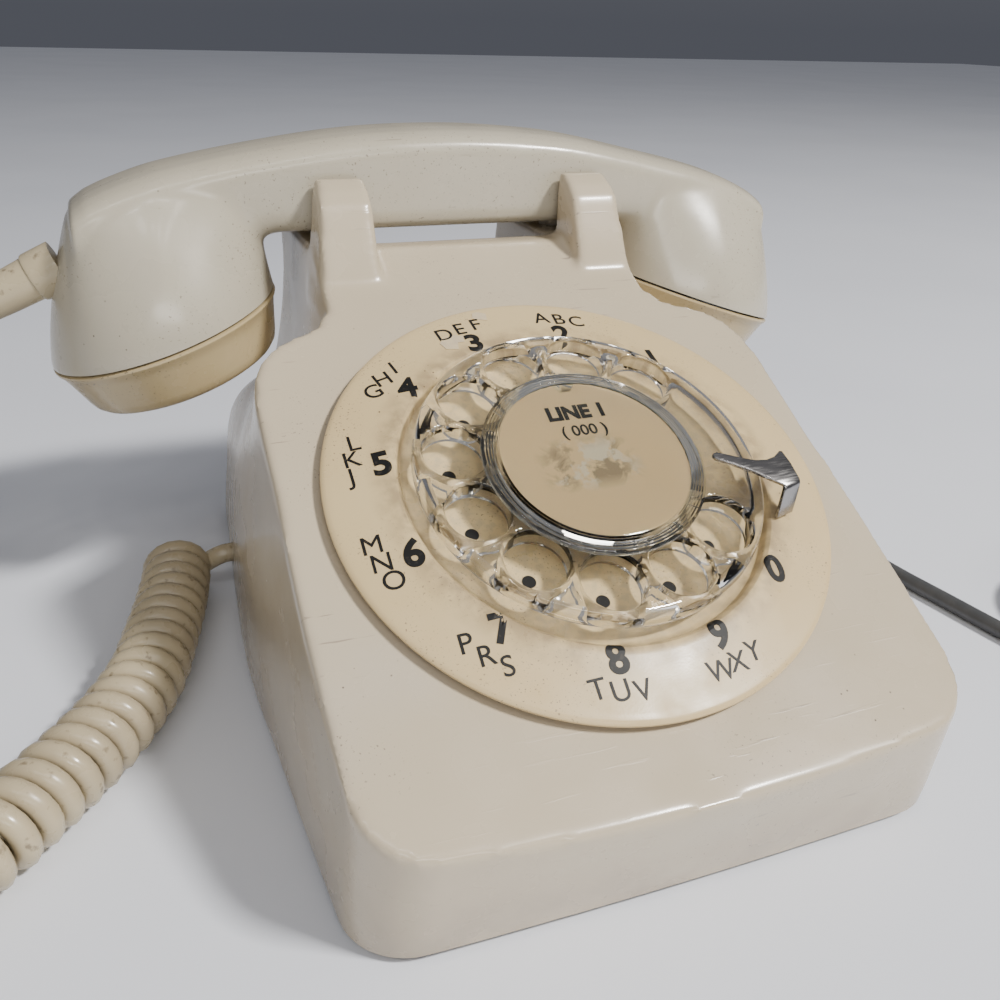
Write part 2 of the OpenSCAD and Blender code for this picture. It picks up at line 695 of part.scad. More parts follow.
module clapper() {
    color([0.7, 0.7, 0.68]) difference() {
        union() {
            box([-1, gong_y + 2, clapper_z - 1], [1, clapper_y, clapper_z + 1]);
            translate([0, gong_y, clapper_z]) sphere(3.2);
            translate([0, clapper_y, 0]) disc(clapper_z - 2.4, clapper_z + 2.4, 3.4);
            box([-7, clapper_y - 1, clapper_z - 2], [7, clapper_y + 1, clapper_z + 2]);
        }
        translate([0, clapper_y, 0]) disc(0, 60, screw_r + run_gap);
    }
}
module clapper_pin() {
    color("silver") translate([0, clapper_y, 0]) {
        disc(base_top + base_t, clapper_z + 5, screw_r);
        disc(base_top + base_t, clapper_z - 2.4 - face_gap, 3);
    }
}
module bias_spring() {
    color([0.35, 0.35, 0.37]) translate([9.4, clapper_y, base_top + base_t]) coil_spring(1.6, 0.6, 12);
}
module volume_wheel() {
    color([0.15, 0.15, 0.15]) translate([volume_at[0], volume_at[1], 0]) difference() {
        union() {
            disc(base_top + 1, base_top + 3.6, 9);
            disc(base_top + 1, base_top + 6, 4);
            for (i = [0:23]) rotate(15 * i) translate([9, 0, 0]) disc(base_top + 1, base_top + 3.6, 0.7);
        }
        disc(0, 60, screw_r + run_gap);
    }
}
module volume_pin() {
    color("silver") translate([volume_at[0], volume_at[1], 0]) {
        disc(base_top, base_top + 8, screw_r);
        disc(base_top, base_top + 0.7, 3);
        disc(base_top + 6.4, base_top + 8, 3);
    }
}
module network_block() {
    y = gong_y + 25.5;
    color([0.30, 0.30, 0.31]) {
        box([network_x, y, base_top], [network_x + network_w, y + network_l, base_top + network_h]);
        box([network_x + 2, y + 2, base_top + network_h],
            [network_x + network_w - 2, y + network_l - 2, base_top + network_h + 3]);
    }
}
module network_screws() {
    color([0.72, 0.60, 0.30]) for (i = [0:3], j = [0:1])
        translate([network_x + network_w * (i + 1) / 5, gong_y + 31 + 8.5 * j, base_top + network_h + 3])
            disc(0, 1.6, 2.4);
}

// ---------------------------------------------------------------- handset
// Height of the handle's back and of its underside, along its length
function back_z(x) = hs_top - 4.2 * pow(x / 50, 2);
module handle_section(x, s) {
    h = back_z(x) - under_z;
    for (y = [-1, 1]) {
        translate([s * x, hs_y + y * (handle_w / 2 - 6), back_z(x) - 6]) sphere(6, $fn = 24);
        translate([s * x, hs_y + y * (handle_w / 2 - 5), under_z + 3]) sphere(3, $fn = 16);
    }
}
module handset_handle() {
    half = cap_x - 28;
    color([0.76, 0.74, 0.66]) difference() {
        union() {
            for (i = [-3:2]) hull() {
                handle_section(abs(i) * half / 3, sign(i));
                handle_section(abs(i + 1) * half / 3, sign(i + 1));
            }
            for (s = [-1, 1]) hull() {
                handle_section(half, s);
                at_end(s) translate([s * 6, 0, cup_deep + 1]) sphere(11, $fn = 32);
                at_end(s) translate([-s * 12, 0, cup_deep - 4]) sphere(12, $fn = 32);
            }
            for (s = [-1, 1]) at_end(s) hull() {
                cylinder(h = 1, r = seat_r);
                translate([0, 0, 8]) cylinder(h = 1, r = seat_r - 0.6);
                translate([s * 3, 0, cup_deep - 5]) resize([50, 46, 28]) sphere(15, $fn = 48);
            }
        }
        for (s = [-1, 1]) at_end(s) {
            disc(-1, 16, seat_r - 4.5);
            translate([-s * 6, 0, 0]) disc(0, 26, 9);
        }
        translate([0, hs_y, under_z + 4.4]) cube([2 * cap_x - 5, 7, 5], center = true);
    }
}
module cap() {
    r = seat_r;
    rotate_extrude($fn = 96) polygon([[0, -cap_h], [r - 8, -cap_h], [r - 4.4, -cap_h + 1.6], [r - 2, -cap_h * 0.55],
        [r, -1.5], [r, -0.3], [r - 2.2, -0.3], [r - 2.2, -1.4], [r - 4.6, -cap_h + 3.6], [r - 7, -cap_h + 2.2],
        [0, -cap_h + 2.2]]);
}
// Rings of sound holes through a cap's face
module sound_holes() {
    cylinder(h = 30, r = 1.1, center = true, $fn = 16);
    for (i = [0:5]) rotate(60 * i) translate([6, 0, 0]) cylinder(h = 30, r = 1.1, center = true, $fn = 16);
}
module transmitter_cap() {
    color([0.76, 0.66, 0.45]) at_end(-1) difference() {
        cap();
        translate([0, 0, -cap_h]) {
            sound_holes();
            for (i = [0:11]) rotate(30 * i) translate([12, 0, 0])
                cylinder(h = 10, r = 1.1, center = true, $fn = 16);
        }
    }
}
module receiver_cap() {
    color([0.76, 0.66, 0.45]) at_end(1) difference() {
        cap();
        translate([0, 0, -cap_h]) sound_holes();
    }
}
module transmitter_unit() {
    color([0.6, 0.6, 0.6]) at_end(-1) {
        disc(-cap_h + 3.4, -2, seat_r - 8);
        disc(-2, 1.5, seat_r - 6);
    }
}
module transmitter_cup() {
    color([0.2, 0.2, 0.2]) at_end(-1) {
        disc(1.5, 5, seat_r - 6.5);
        for (a = [0, 180]) rotate(a) translate([9, 0, 0]) disc(5, 8, 2.5);
    }
}
module receiver_unit() {
    color([0.6, 0.6, 0.6]) at_end(1) {
        disc(-cap_h + 3.4, -1, seat_r - 8);
        disc(-1, 6, seat_r - 10);
    }
}
// Tapered sleeve where the cord leaves the transmitter end
module handset_relief() {
    color([0.70, 0.64, 0.50]) translate(relief_at) rotate([0, -90 - relief_slope, 0])
        cylinder(h = relief_l, r1 = 5.8, r2 = 4.4);
}

// ---------------------------------------------------------------- cords
module handset_cord_upper() { color([0.72, 0.66, 0.52]) cord(upper_route, lead_d / 2, 8); }
module handset_cord_curl() { color([0.72, 0.66, 0.52]) cord(curl_route, curl_d / 2, 10); }
module handset_cord_lower() { color([0.72, 0.66, 0.52]) cord(lower_route, lead_d / 2, 8); }
module line_relief() {
    color([0.12, 0.12, 0.13]) translate([line_exit_x, back_y - 6, exit_z]) rotate([-90, 0, 0]) {
        cylinder(h = 20, r1 = 4, r2 = 3);
        translate([0, 0, -2]) cylinder(h = 2, r = 6);
    }
}
module line_cord() { color([0.18, 0.18, 0.19]) cord(line_route, line_d / 2, 8); }
module line_cord_coil() {
    color([0.18, 0.18, 0.19]) translate([line_ring_at[0], line_ring_at[1], 0])
        rotate_extrude() translate([line_ring_r - line_ring_w / 2, 0.2]) square(line_ring_w);
}
module line_plug() {
    color([0.18, 0.18, 0.19]) translate([line_ring_at[0], line_ring_at[1], 0]) {
        box([-7, -6, 0.2], [7, 8, 12.2]);
        for (x = [-3.5, 3.5], z = [3, 9]) translate([x, 8, z]) rotate([-90, 0, 0]) cylinder(h = 8, r = 1.2);
    }
}

housing();
base_plate();
feet();
housing_screws();
number_plate();
finger_wheel();
number_card();
card_retainer();
wheel_clamp();
hub_screw();
finger_stop();
dial_frame();
dial_bridge();
dial_brackets();
dial_shaft();
main_gear();
return_spring();
mid_shaft();
mid_gear();
pulse_cam();
pulse_contacts();
governor_shaft();
governor_weights();
governor_cup();
hook_bracket();
hook_pin();
hook_lever();
hook_spring();
hook_contacts();
plunger_left();
plunger_right();
ringer_frame();
ringer_coil();
ringer_core();
ringer_magnet();
clapper();
clapper_pin();
bias_spring();
gong_left();
gong_right();
gong_screws();
volume_wheel();
volume_pin();
network_block();
network_screws();
handset_handle();
transmitter_cap();
transmitter_unit();
transmitter_cup();
receiver_cap();
receiver_unit();
handset_relief();
handset_cord_upper();
handset_cord_curl();
handset_cord_lower();
line_relief();
line_cord();
line_cord_coil();
line_plug();
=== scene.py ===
from math import cos, pi, radians, sin, sqrt
import bpy
from mathutils import Matrix, Vector


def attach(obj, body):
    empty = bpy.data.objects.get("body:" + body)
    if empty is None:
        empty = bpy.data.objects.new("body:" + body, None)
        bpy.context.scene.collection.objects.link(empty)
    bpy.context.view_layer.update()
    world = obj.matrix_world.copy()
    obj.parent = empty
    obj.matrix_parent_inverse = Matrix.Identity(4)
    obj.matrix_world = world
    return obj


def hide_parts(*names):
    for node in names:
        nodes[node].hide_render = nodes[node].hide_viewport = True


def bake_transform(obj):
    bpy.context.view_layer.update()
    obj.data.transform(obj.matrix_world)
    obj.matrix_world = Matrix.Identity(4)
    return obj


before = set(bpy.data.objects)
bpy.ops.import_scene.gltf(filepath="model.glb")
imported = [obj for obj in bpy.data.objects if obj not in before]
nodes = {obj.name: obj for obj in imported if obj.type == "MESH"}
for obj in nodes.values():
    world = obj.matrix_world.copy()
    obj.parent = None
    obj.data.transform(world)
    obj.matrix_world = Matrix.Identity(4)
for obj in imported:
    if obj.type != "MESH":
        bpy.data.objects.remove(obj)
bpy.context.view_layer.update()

# ---------------------------------------------------------------- camera, floor and light
# The telephone stands on a pale laminate counter. A large soft light hangs over it, a row of
# small lamps behind the viewer leaves bead-like highlights, and the camera looks down from
# the left of the dial.
eye = Vector((-0.0905, -0.2155, 0.1528))
eye_right = Vector((0.93145, -0.36279, 0.02803))
eye_up = Vector((0.13390, 0.41337, 0.90066))
camera_data = bpy.data.cameras.new("camera")
camera_data.sensor_width = 36
camera_data.lens = 35.97
camera_data.clip_start = 0.01
camera = bpy.data.objects.new("camera", camera_data)
turn = Matrix((eye_right, eye_up, eye_right.cross(eye_up))).transposed()
camera.matrix_world = Matrix.Translation(eye) @ turn.to_4x4()
bpy.context.scene.collection.objects.link(camera)
bpy.context.scene.camera = camera


class Finish:
    """A material whose nodes are added one by one, on Object coordinates."""

    def __init__(self, name, colour, roughness, **inputs):
        self.material = bpy.data.materials.new(name)
        self.material.use_nodes = True
        self.tree = self.material.node_tree
        self.shader = self.tree.nodes["Principled BSDF"]
        self.shader.inputs["Base Color"].default_value = (*colour, 1)
        self.shader.inputs["Roughness"].default_value = roughness
        self.colour = (*colour, 1)
        for key, value in inputs.items():
            self.shader.inputs[key.replace("_", " ")].default_value = value
        self.place = self.tree.nodes.new("ShaderNodeTexCoord").outputs["Object"]

    def link(self, a, b):
        self.tree.links.new(a, b)

    def moved(self, scale=(1, 1, 1), turn=(0, 0, 0), shift=(0, 0, 0), source=None):
        """Object coordinates stretched, turned or shifted."""
        n = self.tree.nodes.new("ShaderNodeMapping")
        n.inputs["Scale"].default_value = scale
        n.inputs["Rotation"].default_value = turn
        n.inputs["Location"].default_value = shift
        self.link(source or self.place, n.inputs["Vector"])
        return n.outputs[0]

    def noise(self, scale, detail=3, rough=0.5, at=None, distort=0):
        n = self.tree.nodes.new("ShaderNodeTexNoise")
        n.inputs["Scale"].default_value = scale
        n.inputs["Detail"].default_value = detail
        n.inputs["Roughness"].default_value = rough
        n.inputs["Distortion"].default_value = distort
        self.link(at or self.place, n.inputs["Vector"])
        return n.outputs[0]

    def cells(self, scale, at=None, feature="F1"):
        n = self.tree.nodes.new("ShaderNodeTexVoronoi")
        n.feature = feature
        n.inputs["Scale"].default_value = scale
        self.link(at or self.place, n.inputs["Vector"])
        return n.outputs["Distance"]

    def span(self, value, low, high, out_low=0.0, out_high=1.0):
        """The stretch of a value from low to high, clamped, as out_low to out_high."""
        n = self.tree.nodes.new("ShaderNodeMapRange")
        for key, v in zip(("From Min", "From Max", "To Min", "To Max"), (low, high, out_low, out_high)):
            n.inputs[key].default_value = v
        self.link(value, n.inputs["Value"])
        return n.outputs[0]

    def math(self, kind, a, b=None):
        n = self.tree.nodes.new("ShaderNodeMath")
        n.operation = kind
        for i, v in enumerate((a, b)):
            if isinstance(v, (int, float)):
                n.inputs[i].default_value = v
            elif v is not None:
                self.link(v, n.inputs[i])
        return n.outputs[0]

    def parts(self, source=None):
        n = self.tree.nodes.new("ShaderNodeSeparateXYZ")
        self.link(source or self.place, n.inputs[0])
        return n.outputs

    def tint(self, mask, colour):
        """Lays a colour over what is there, by a mask."""
        n = self.tree.nodes.new("ShaderNodeMix")
        n.data_type = "RGBA"
        self.link(mask, n.inputs["Factor"])
        if isinstance(self.colour, tuple):
            n.inputs["A"].default_value = self.colour
        else:
            self.link(self.colour, n.inputs["A"])
        n.inputs["B"].default_value = (*colour, 1)
        self.colour = n.outputs["Result"]
        self.link(self.colour, self.shader.inputs["Base Color"])

    def clouds(self, size, low, high, colour, detail=4, most=1.0):
        """Lays a colour over by soft clouds."""
        self.tint(self.span(self.noise(size, detail), low, high, 0, most), colour)

    def within(self, mask, size, low, high, colour, detail=3, least=0.0, most=1.0):
        """Lays a colour over by a mask, but only inside clouds."""
        inside = self.span(self.noise(size, detail), low, high, least, most)
        self.tint(self.math("MULTIPLY", mask, inside), colour)

    def skin(self, size, strength, distance, detail=2):
        """A fine unevenness of the surface."""
        self.bump(self.noise(size, detail), strength, distance)

    def rough(self, value, low, high, out_low, out_high):
        self.link(self.span(value, low, high, out_low, out_high), self.shader.inputs["Roughness"])

    def bump(self, height, strength, distance):
        n = self.tree.nodes.new("ShaderNodeBump")
        n.inputs["Strength"].default_value = strength
        n.inputs["Distance"].default_value = distance
        self.link(height, n.inputs["Height"])
        last = self.shader.inputs["Normal"]
        if last.is_linked:
            self.link(last.links[0].from_socket, n.inputs["Normal"])
        self.link(n.outputs[0], last)


def only(obj):
    """Makes one object the only one selected, and the active one."""
    bpy.ops.object.select_all(action="DESELECT")
    obj.select_set(True)
    bpy.context.view_layer.objects.active = obj


def edit(obj, *steps):
    """Runs editing steps, each on the whole mesh; a step is an operator and its settings."""
    only(obj)
    bpy.ops.object.mode_set(mode="EDIT")
    for step, settings in steps:
        bpy.ops.mesh.select_all(action="SELECT")
        step(**settings)
    bpy.ops.object.mode_set(mode="OBJECT")


def change(obj, kind, **settings):
    """Adds a modifier and applies it at once."""
    only(obj)
    step = obj.modifiers.new("step", kind)
    for key, value in settings.items():
        setattr(step, key, value)
    bpy.ops.object.modifier_apply(modifier="step")


def coat(obj, finish, smooth):
    """Gives an object its one finish, smooth up to an angle between faces."""
    only(obj)
    bpy.ops.object.shade_smooth_by_angle(angle=radians(smooth))
    obj.data.materials.clear()
    obj.data.materials.append(finish.material)


def mm(points):
    """Points given in millimetres."""
    return [(a / 1000, b / 1000) for a, b in points]


def name_last(name, finish=None):
    obj = bpy.context.object
    obj.name = obj.data.name = name
    if finish:
        obj.data.materials.clear()
        obj.data.materials.append(finish.material)
    return obj


counter = Finish("counter_laminate", (0.80, 0.83, 0.90), 0.45)
counter.clouds(5, 0.35, 0.7, (0.76, 0.79, 0.86))
counter.skin(900, 0.05, 0.0003)
bpy.ops.object.select_all(action="DESELECT")
bpy.ops.mesh.primitive_plane_add(size=9, location=(0, 0, 0))
name_last("floor", counter)

room = bpy.data.worlds.new("room")
room.use_nodes = True
bpy.context.scene.world = room
sky = room.node_tree
sky_place = sky.nodes.new("ShaderNodeTexCoord")
sky_split = sky.nodes.new("ShaderNodeSeparateXYZ")
sky_ramp = sky.nodes.new("ShaderNodeValToRGB")
sky.links.new(sky_place.outputs["Generated"], sky_split.inputs[0])
sky.links.new(sky_split.outputs["Z"], sky_ramp.inputs[0])
sky_ramp.color_ramp.elements[0].color = (0.20, 0.21, 0.25, 1)
sky_ramp.color_ramp.elements[1].color = (0.72, 0.72, 0.75, 1)
sky.links.new(sky_ramp.outputs[0], sky.nodes["Background"].inputs[0])
sky.nodes["Background"].inputs["Strength"].default_value = 0.42


def lamp(name, at, aim, power, size, colour=(1, 0.97, 0.93)):
    data = bpy.data.lights.new(name, "AREA")
    data.shape = "RECTANGLE"
    data.size, data.size_y = size
    data.energy = power
    data.color = colour
    obj = bpy.data.objects.new(name, data)
    obj.location = at
    obj.rotation_euler = (Vector(aim) - Vector(at)).to_track_quat("-Z", "Y").to_euler()
    bpy.context.scene.collection.objects.link(obj)


lamp("ceiling_soft", (0.86, -0.92, 1.40), (0, 0, 0.03), 46, (0.30, 0.16))
lamp("front_soft", (-0.15, -1.25, 0.62), (0, 0, 0.06), 4.5, (0.9, 0.18), (1, 0.97, 0.93))
for i in range(5):
    lamp(f"bead_{i}", (-0.62 + 0.16 * i, -0.55 - 0.05 * i, 0.98), (0, 0, 0.09), 0.42, (0.045, 0.045))

# ---------------------------------------------------------------- handset cord
# A tan vinyl cord wound into a close spring, with a short straight lead at each end. One end
# runs into the sleeve on the transmitter end, the other through a hole in the housing's side.
wire_d = 0.0054
winding_r = 0.0066
handset_wire_length = 2.4
lead_hole = Vector((-0.0665, 0.0475, 0.012))
handset_end = Vector((-0.1274, 0.057, 0.0820))
upper_lead = [(-0.1282, 0.057, 0.0816), (-0.1346, 0.057, 0.0784), (-0.141, 0.057, 0.074),
              (-0.1468, 0.0566, 0.068), (-0.151, 0.056, 0.061)]
winding_route = [(-0.151, 0.056, 0.061), (-0.154, 0.055, 0.054), (-0.158, 0.0525, 0.045),
                 (-0.163, 0.0485, 0.035), (-0.170, 0.042, 0.025), (-0.179, 0.032, 0.0165),
                 (-0.189, 0.018, 0.011), (-0.196, 0.001, 0.0096), (-0.198, -0.018, 0.0096),
                 (-0.193, -0.037, 0.0096), (-0.181, -0.052, 0.0096), (-0.165, -0.061, 0.0096),
                 (-0.148, -0.062, 0.0096), (-0.135, -0.0565, 0.0096), (-0.126, -0.0494, 0.0096),
                 (-0.1168, -0.0389, 0.0096), (-0.1084, -0.0288, 0.0096),
                 (-0.1005, -0.0172, 0.0096), (-0.0939, -0.0035, 0.0096),
                 (-0.0896, 0.012, 0.0096), (-0.0857, 0.028, 0.0096), (-0.0834, 0.040, 0.0097),
                 (-0.0822, 0.049, 0.0099)]


def smooth_path(points, step):
    """A smooth curve through the points, as points about a step apart."""
    points = [Vector(p) for p in points]
    out = [points[0]]
    for i in range(len(points) - 1):
        a, b = points[max(i - 1, 0)], points[i]
        c, d = points[i + 1], points[min(i + 2, len(points) - 1)]
        count = max(2, round((c - b).length / step))
        for k in range(1, count + 1):
            t = k / count
            out.append(0.5 * (2 * b + (c - a) * t + (2 * a - 5 * b + 4 * c - d) * t * t
                              + (3 * b - a - 3 * c + d) * t ** 3))
    return out


def at_length(points, steps):
    """Points at even distances along a path, with the sideways directions carried along it."""
    gaps = [(b - a).length for a, b in zip(points, points[1:])]
    total = sum(gaps)
    out, i, done = [], 0, 0.0
    side = Vector((0, 0, 1))
    for k in range(steps + 1):
        want = total * k / steps
        while i < len(gaps) - 1 and done + gaps[i] < want:
            done += gaps[i]
            i += 1
        t = (points[i + 1] - points[i]).normalized()
        side = (side - t * side.dot(t)).normalized()
        out.append((points[i].lerp(points[i + 1], (want - done) / gaps[i]), side, t.cross(side)))
    return out


def cord_curve(name, points, diameter, finish, sides=3):
    data = bpy.data.curves.new(name, "CURVE")
    data.dimensions = "3D"
    data.bevel_depth = diameter / 2
    data.bevel_resolution = sides
    data.use_fill_caps = True
    line = data.splines.new("POLY")
    line.points.add(len(points) - 1)
    for slot, p in zip(line.points, points):
        slot.co = (*p, 1)
    line.use_smooth = True
    data.materials.append(finish.material)
    obj = bpy.data.objects.new(name, data)
    bpy.context.scene.collection.objects.link(obj)
    return obj


vinyl = Finish("cord_vinyl", (0.48, 0.405, 0.265), 0.3, Specular_IOR_Level=0.55)
vinyl.clouds(45, 0.42, 0.68, (0.40, 0.335, 0.225))
vinyl.clouds(420, 0.62, 0.72, (0.24, 0.19, 0.12), 3)
vinyl.rough(vinyl.noise(160, 3), 0.3, 0.75, 0.2, 0.42)
vinyl.skin(700, 0.06, 0.0004)

coil_line = smooth_path(winding_route, 0.002)
turn_length = 2 * pi * winding_r
turns = round((handset_wire_length - 0.08) / turn_length)
steps_per_turn = 18
wound = at_length(coil_line, turns * steps_per_turn)
wire = [handset_end] + smooth_path(upper_lead, 0.003)[:-2]
for k, (p, u, v) in enumerate(wound):
    angle = radians(180) - 2 * pi * (turns - k / steps_per_turn)
    swell = min(1, (k + 1) / (1.2 * steps_per_turn)) ** 0.7
    wire.append(p + winding_r * swell * (cos(angle) * u + sin(angle) * v))
wire += smooth_path([wire[-1], wire[-1] + Vector((0.0055, 0.0002, 0.0016)),
                     lead_hole - Vector((0.0045, 0, 0.0006)), lead_hole,
                     lead_hole + Vector((0.006, 0, 0))], 0.0015)[1:]
handset_cord = cord_curve("handset_cord", wire, wire_d, vinyl, 4)
only(handset_cord)
bpy.ops.object.convert(target="MESH")
handset_cord = bpy.context.object
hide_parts("handset_cord_upper", "handset_cord_curl", "handset_cord_lower")
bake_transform(handset_cord)

# ---------------------------------------------------------------- line cord and plug
# A thin dark grey cord from the back of the housing to the wall. The spare length is wound in
# a small coil of three layers, and the plug lies inside it.
line_d = 0.0046
line_route = [(0.046, 0.110, 0.012), (0.046, 0.120, 0.012), (0.048, 0.130, 0.009),
              (0.054, 0.140, 0.004), (0.066, 0.146, 0.0025), (0.082, 0.144, 0.0025),
              (0.097, 0.131, 0.0025), (0.107, 0.112, 0.0025), (0.113, 0.088, 0.0025),
              (0.117, 0.062, 0.0025), (0.120, 0.036, 0.0025), (0.122, 0.010, 0.0025),
              (0.124, -0.012, 0.0025), (0.127, -0.030, 0.0025), (0.130, -0.048, 0.0025),
              (0.133, -0.062, 0.0025), (0.140, -0.0755, 0.0025), (0.151, -0.0855, 0.0025),
              (0.1635, -0.0915, 0.0025)]
ring_at = Vector((0.175, -0.062, 0))
ring_mean_r = 0.026
ring_pitch = 0.00465
ring_turns = 8 + 301 / 360

line_jacket = Finish("line_jacket", (0.055, 0.057, 0.06), 0.42)
line_jacket.clouds(120, 0.45, 0.75, (0.085, 0.085, 0.085))
line_jacket.skin(900, 0.08, 0.0003)


def ring_point(turn_count):
    """A point on the spare coil: three turns side by side in each of three layers."""
    n = int(turn_count)
    ease = max(0, (turn_count - n - 0.86) / 0.14)
    ease = ease * ease * (3 - 2 * ease)

    def place(k):
        layer, across = k // 3, k % 3
        across = across if layer % 2 == 0 else 2 - across
        return ring_mean_r + (1 - across) * ring_pitch, 0.0025 + layer * line_d
    (r0, z0), (r1, z1) = place(n), place(n + 1)
    angle = radians(-90) + 2 * pi * turn_count
    r = r0 + (r1 - r0) * ease
    return ring_at + Vector((r * cos(angle), r * sin(angle), z0 + (z1 - z0) * ease))


line_points = smooth_path(line_route, 0.003)
line_points += [ring_point(k / 60) for k in range(1, round(60 * ring_turns) + 1)]
last = line_points[-1]
bend_r = 0.00985
bend_centre = last + bend_r * Vector((0.857, 0.515, 0))
for k in range(1, 19):
    angle = radians(-59 - 90 + 149 * k / 18)
    drop = (0.0117 - 0.0062) * (0.5 - 0.5 * cos(pi * k / 18))
    line_points.append(bend_centre + bend_r * Vector((cos(angle), sin(angle), 0)) - Vector((0, 0, drop)))
line_points.append(line_points[-1] + Vector((0, 0.003, 0)))
line_cord = cord_curve("line_cord_run", line_points, line_d, line_jacket, 3)
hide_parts("line_cord", "line_cord_coil")
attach(line_cord, "telephone")

moulded_black = Finish("moulded_black", (0.022, 0.022, 0.024), 0.36)
moulded_black.clouds(260, 0.6, 0.75, (0.05, 0.05, 0.05))
moulded_black.skin(1400, 0.1, 0.0002)


def dress(finish, *names):
    """Gives CAD nodes their finish."""
    for name in names:
        node = nodes[name]
        node.data.materials.clear()
        node.data.materials.append(finish.material)


dress(moulded_black, "line_plug", "line_relief", "transmitter_cup", "volume_wheel")

# ---------------------------------------------------------------- housing
# One glossy moulding, open underneath: a wide body whose face slopes up to the dial, a narrow
# neck behind it, and four horns that hold the handset. Its sides sweep in under the handset's
# ends, and a trough behind the front rim takes the fingers of a carrying hand.
tilt = radians(28)
dial_at = Vector((0, -0.044, 0.070))
to_row = Matrix.Translation(dial_at) @ Matrix.Rotation(tilt, 4, "X")
face_z = -0.0108
wall = 0.0028
back_y = 0.106
handset_y = 0.057
saddle_z = 0.0995
plunger_x = 0.0332


# the editing step that turns all faces of a closed mesh outwards
outward = (bpy.ops.mesh.normals_make_consistent, {"inside": False})


def dial_place(finish):
    """Object coordinates in the dial's frame, one by one."""
    shift = tuple(-(Matrix.Rotation(-tilt, 3, "X") @ dial_at))
    return finish.parts(finish.moved((1, 1, 1), (-tilt, 0, 0), shift))


def loft(name, rings):
    """A closed solid through rings of equally many points, from the lowest up."""
    mesh = bpy.data.meshes.new(name)
    count = len(rings[0])
    points = [p for ring in rings for p in ring]
    faces = [(a * count + k, a * count + (k + 1) % count, (a + 1) * count + (k + 1) % count,
              (a + 1) * count + k) for a in range(len(rings) - 1) for k in range(count)]
    faces += [tuple(range(count))[::-1], tuple((len(rings) - 1) * count + k for k in range(count))]
    mesh.from_pydata(points, [], faces)
    obj = bpy.data.objects.new(name, mesh)
    bpy.context.scene.collection.objects.link(obj)
    edit(obj, outward)
    return obj


def curve_through(rows, x):
    """Smooth values between rows of (x, a, b, ...)."""
    for i in range(len(rows) - 1):
        if x <= rows[i + 1][0] or i == len(rows) - 2:
            break
    a, b = rows[max(i - 1, 0)], rows[i]
    c, d = rows[i + 1], rows[min(i + 2, len(rows) - 1)]
    t = (x - b[0]) / (c[0] - b[0])
    out = []
    for k in range(1, len(b)):
        m0 = (c[k] - a[k]) / (c[0] - a[0]) * (c[0] - b[0])
        m1 = (d[k] - b[k]) / (d[0] - b[0]) * (c[0] - b[0])
        out.append((2 * t ** 3 - 3 * t * t + 1) * b[k] + (t ** 3 - 2 * t * t + t) * m0
                   + (3 * t * t - 2 * t ** 3) * c[k] + (t ** 3 - t * t) * m1)
    return out


def body_ring(z, front, back, w_front, y_mid, w_mid, w_back, r, bow, inset):
    """Plan outline of the body at one height: rounded corners, bowed front and sides."""
    front, back, r = front + inset, back - inset, max(r - inset, 0.002)
    w_front, w_mid, w_back = w_front - inset, w_mid - inset, w_back - inset
    half = []
    for k in range(9):
        x = (w_front - r) * k / 8
        half.append((x, front + bow * (x / (w_front - r)) ** 2))
    for k in range(1, 11):
        a = radians(-90 + 9 * k)
        half.append((w_front - r + r * cos(a), front + bow + r + r * sin(a)))
    y_back = max(back - r, y_mid + 0.004)
    side = smooth_path([(w_front, front + bow + r, 0),
                        ((w_front + w_mid) / 2 + 0.0006, (front + bow + r + y_mid) / 2, 0),
                        (w_mid, y_mid, 0), (w_back, y_back, 0)], 1)
    side = at_length(smooth_path([tuple(p) for p in (side[0], side[2], side[4], side[6])], 0.002), 24)
    half += [(p.x, p.y) for p, _, _ in side[1:]]
    for k in range(1, 11):
        a = radians(9 * k)
        half.append((w_back - r + r * cos(a), y_back + r * sin(a)))
    for k in range(1, 7):
        half.append(((w_back - r) * (1 - k / 6), half[-1][1]))
    left = [(-x, y) for x, y in reversed(half[1:-1])]
    return [(x, y, z) for x, y in half + left]


# height: front, back, front half width, widest place and half width, back half width, corner
body_levels = [
    (0.0016, -0.0960, 0.1060, 0.0662, 0.012, 0.0695, 0.0635, 0.0135, 0.0008),
    (0.0060, -0.0972, 0.1058, 0.0661, 0.012, 0.0694, 0.0634, 0.0138, 0.0010),
    (0.0150, -0.0996, 0.1040, 0.0657, 0.012, 0.0690, 0.0628, 0.0145, 0.0018),
    (0.0240, -0.1020, 0.1020, 0.0652, 0.012, 0.0685, 0.0620, 0.0150, 0.0026),
    (0.0330, -0.1040, 0.1000, 0.0648, 0.012, 0.0679, 0.0614, 0.0150, 0.0032),
    (0.0420, -0.1050, 0.0960, 0.0645, 0.012, 0.0668, 0.0600, 0.0150, 0.0035),
    (0.0500, -0.1070, 0.0880, 0.0643, 0.011, 0.0655, 0.0575, 0.0150, 0.0035),
    (0.0580, -0.1070, 0.0740, 0.0639, 0.010, 0.0645, 0.0540, 0.0145, 0.0035),
    (0.0660, -0.1070, 0.0550, 0.0635, 0.007, 0.0635, 0.0505, 0.0130, 0.0035),
    (0.0740, -0.1070, 0.0370, 0.0630, 0.003, 0.0629, 0.0480, 0.0110, 0.0035),
    (0.0820, -0.1070, 0.0240, 0.0626, -0.001, 0.0624, 0.0462, 0.0090, 0.0035),
    (0.0900, -0.1070, 0.0165, 0.0624, -0.004, 0.0622, 0.0450, 0.0070, 0.0035)]
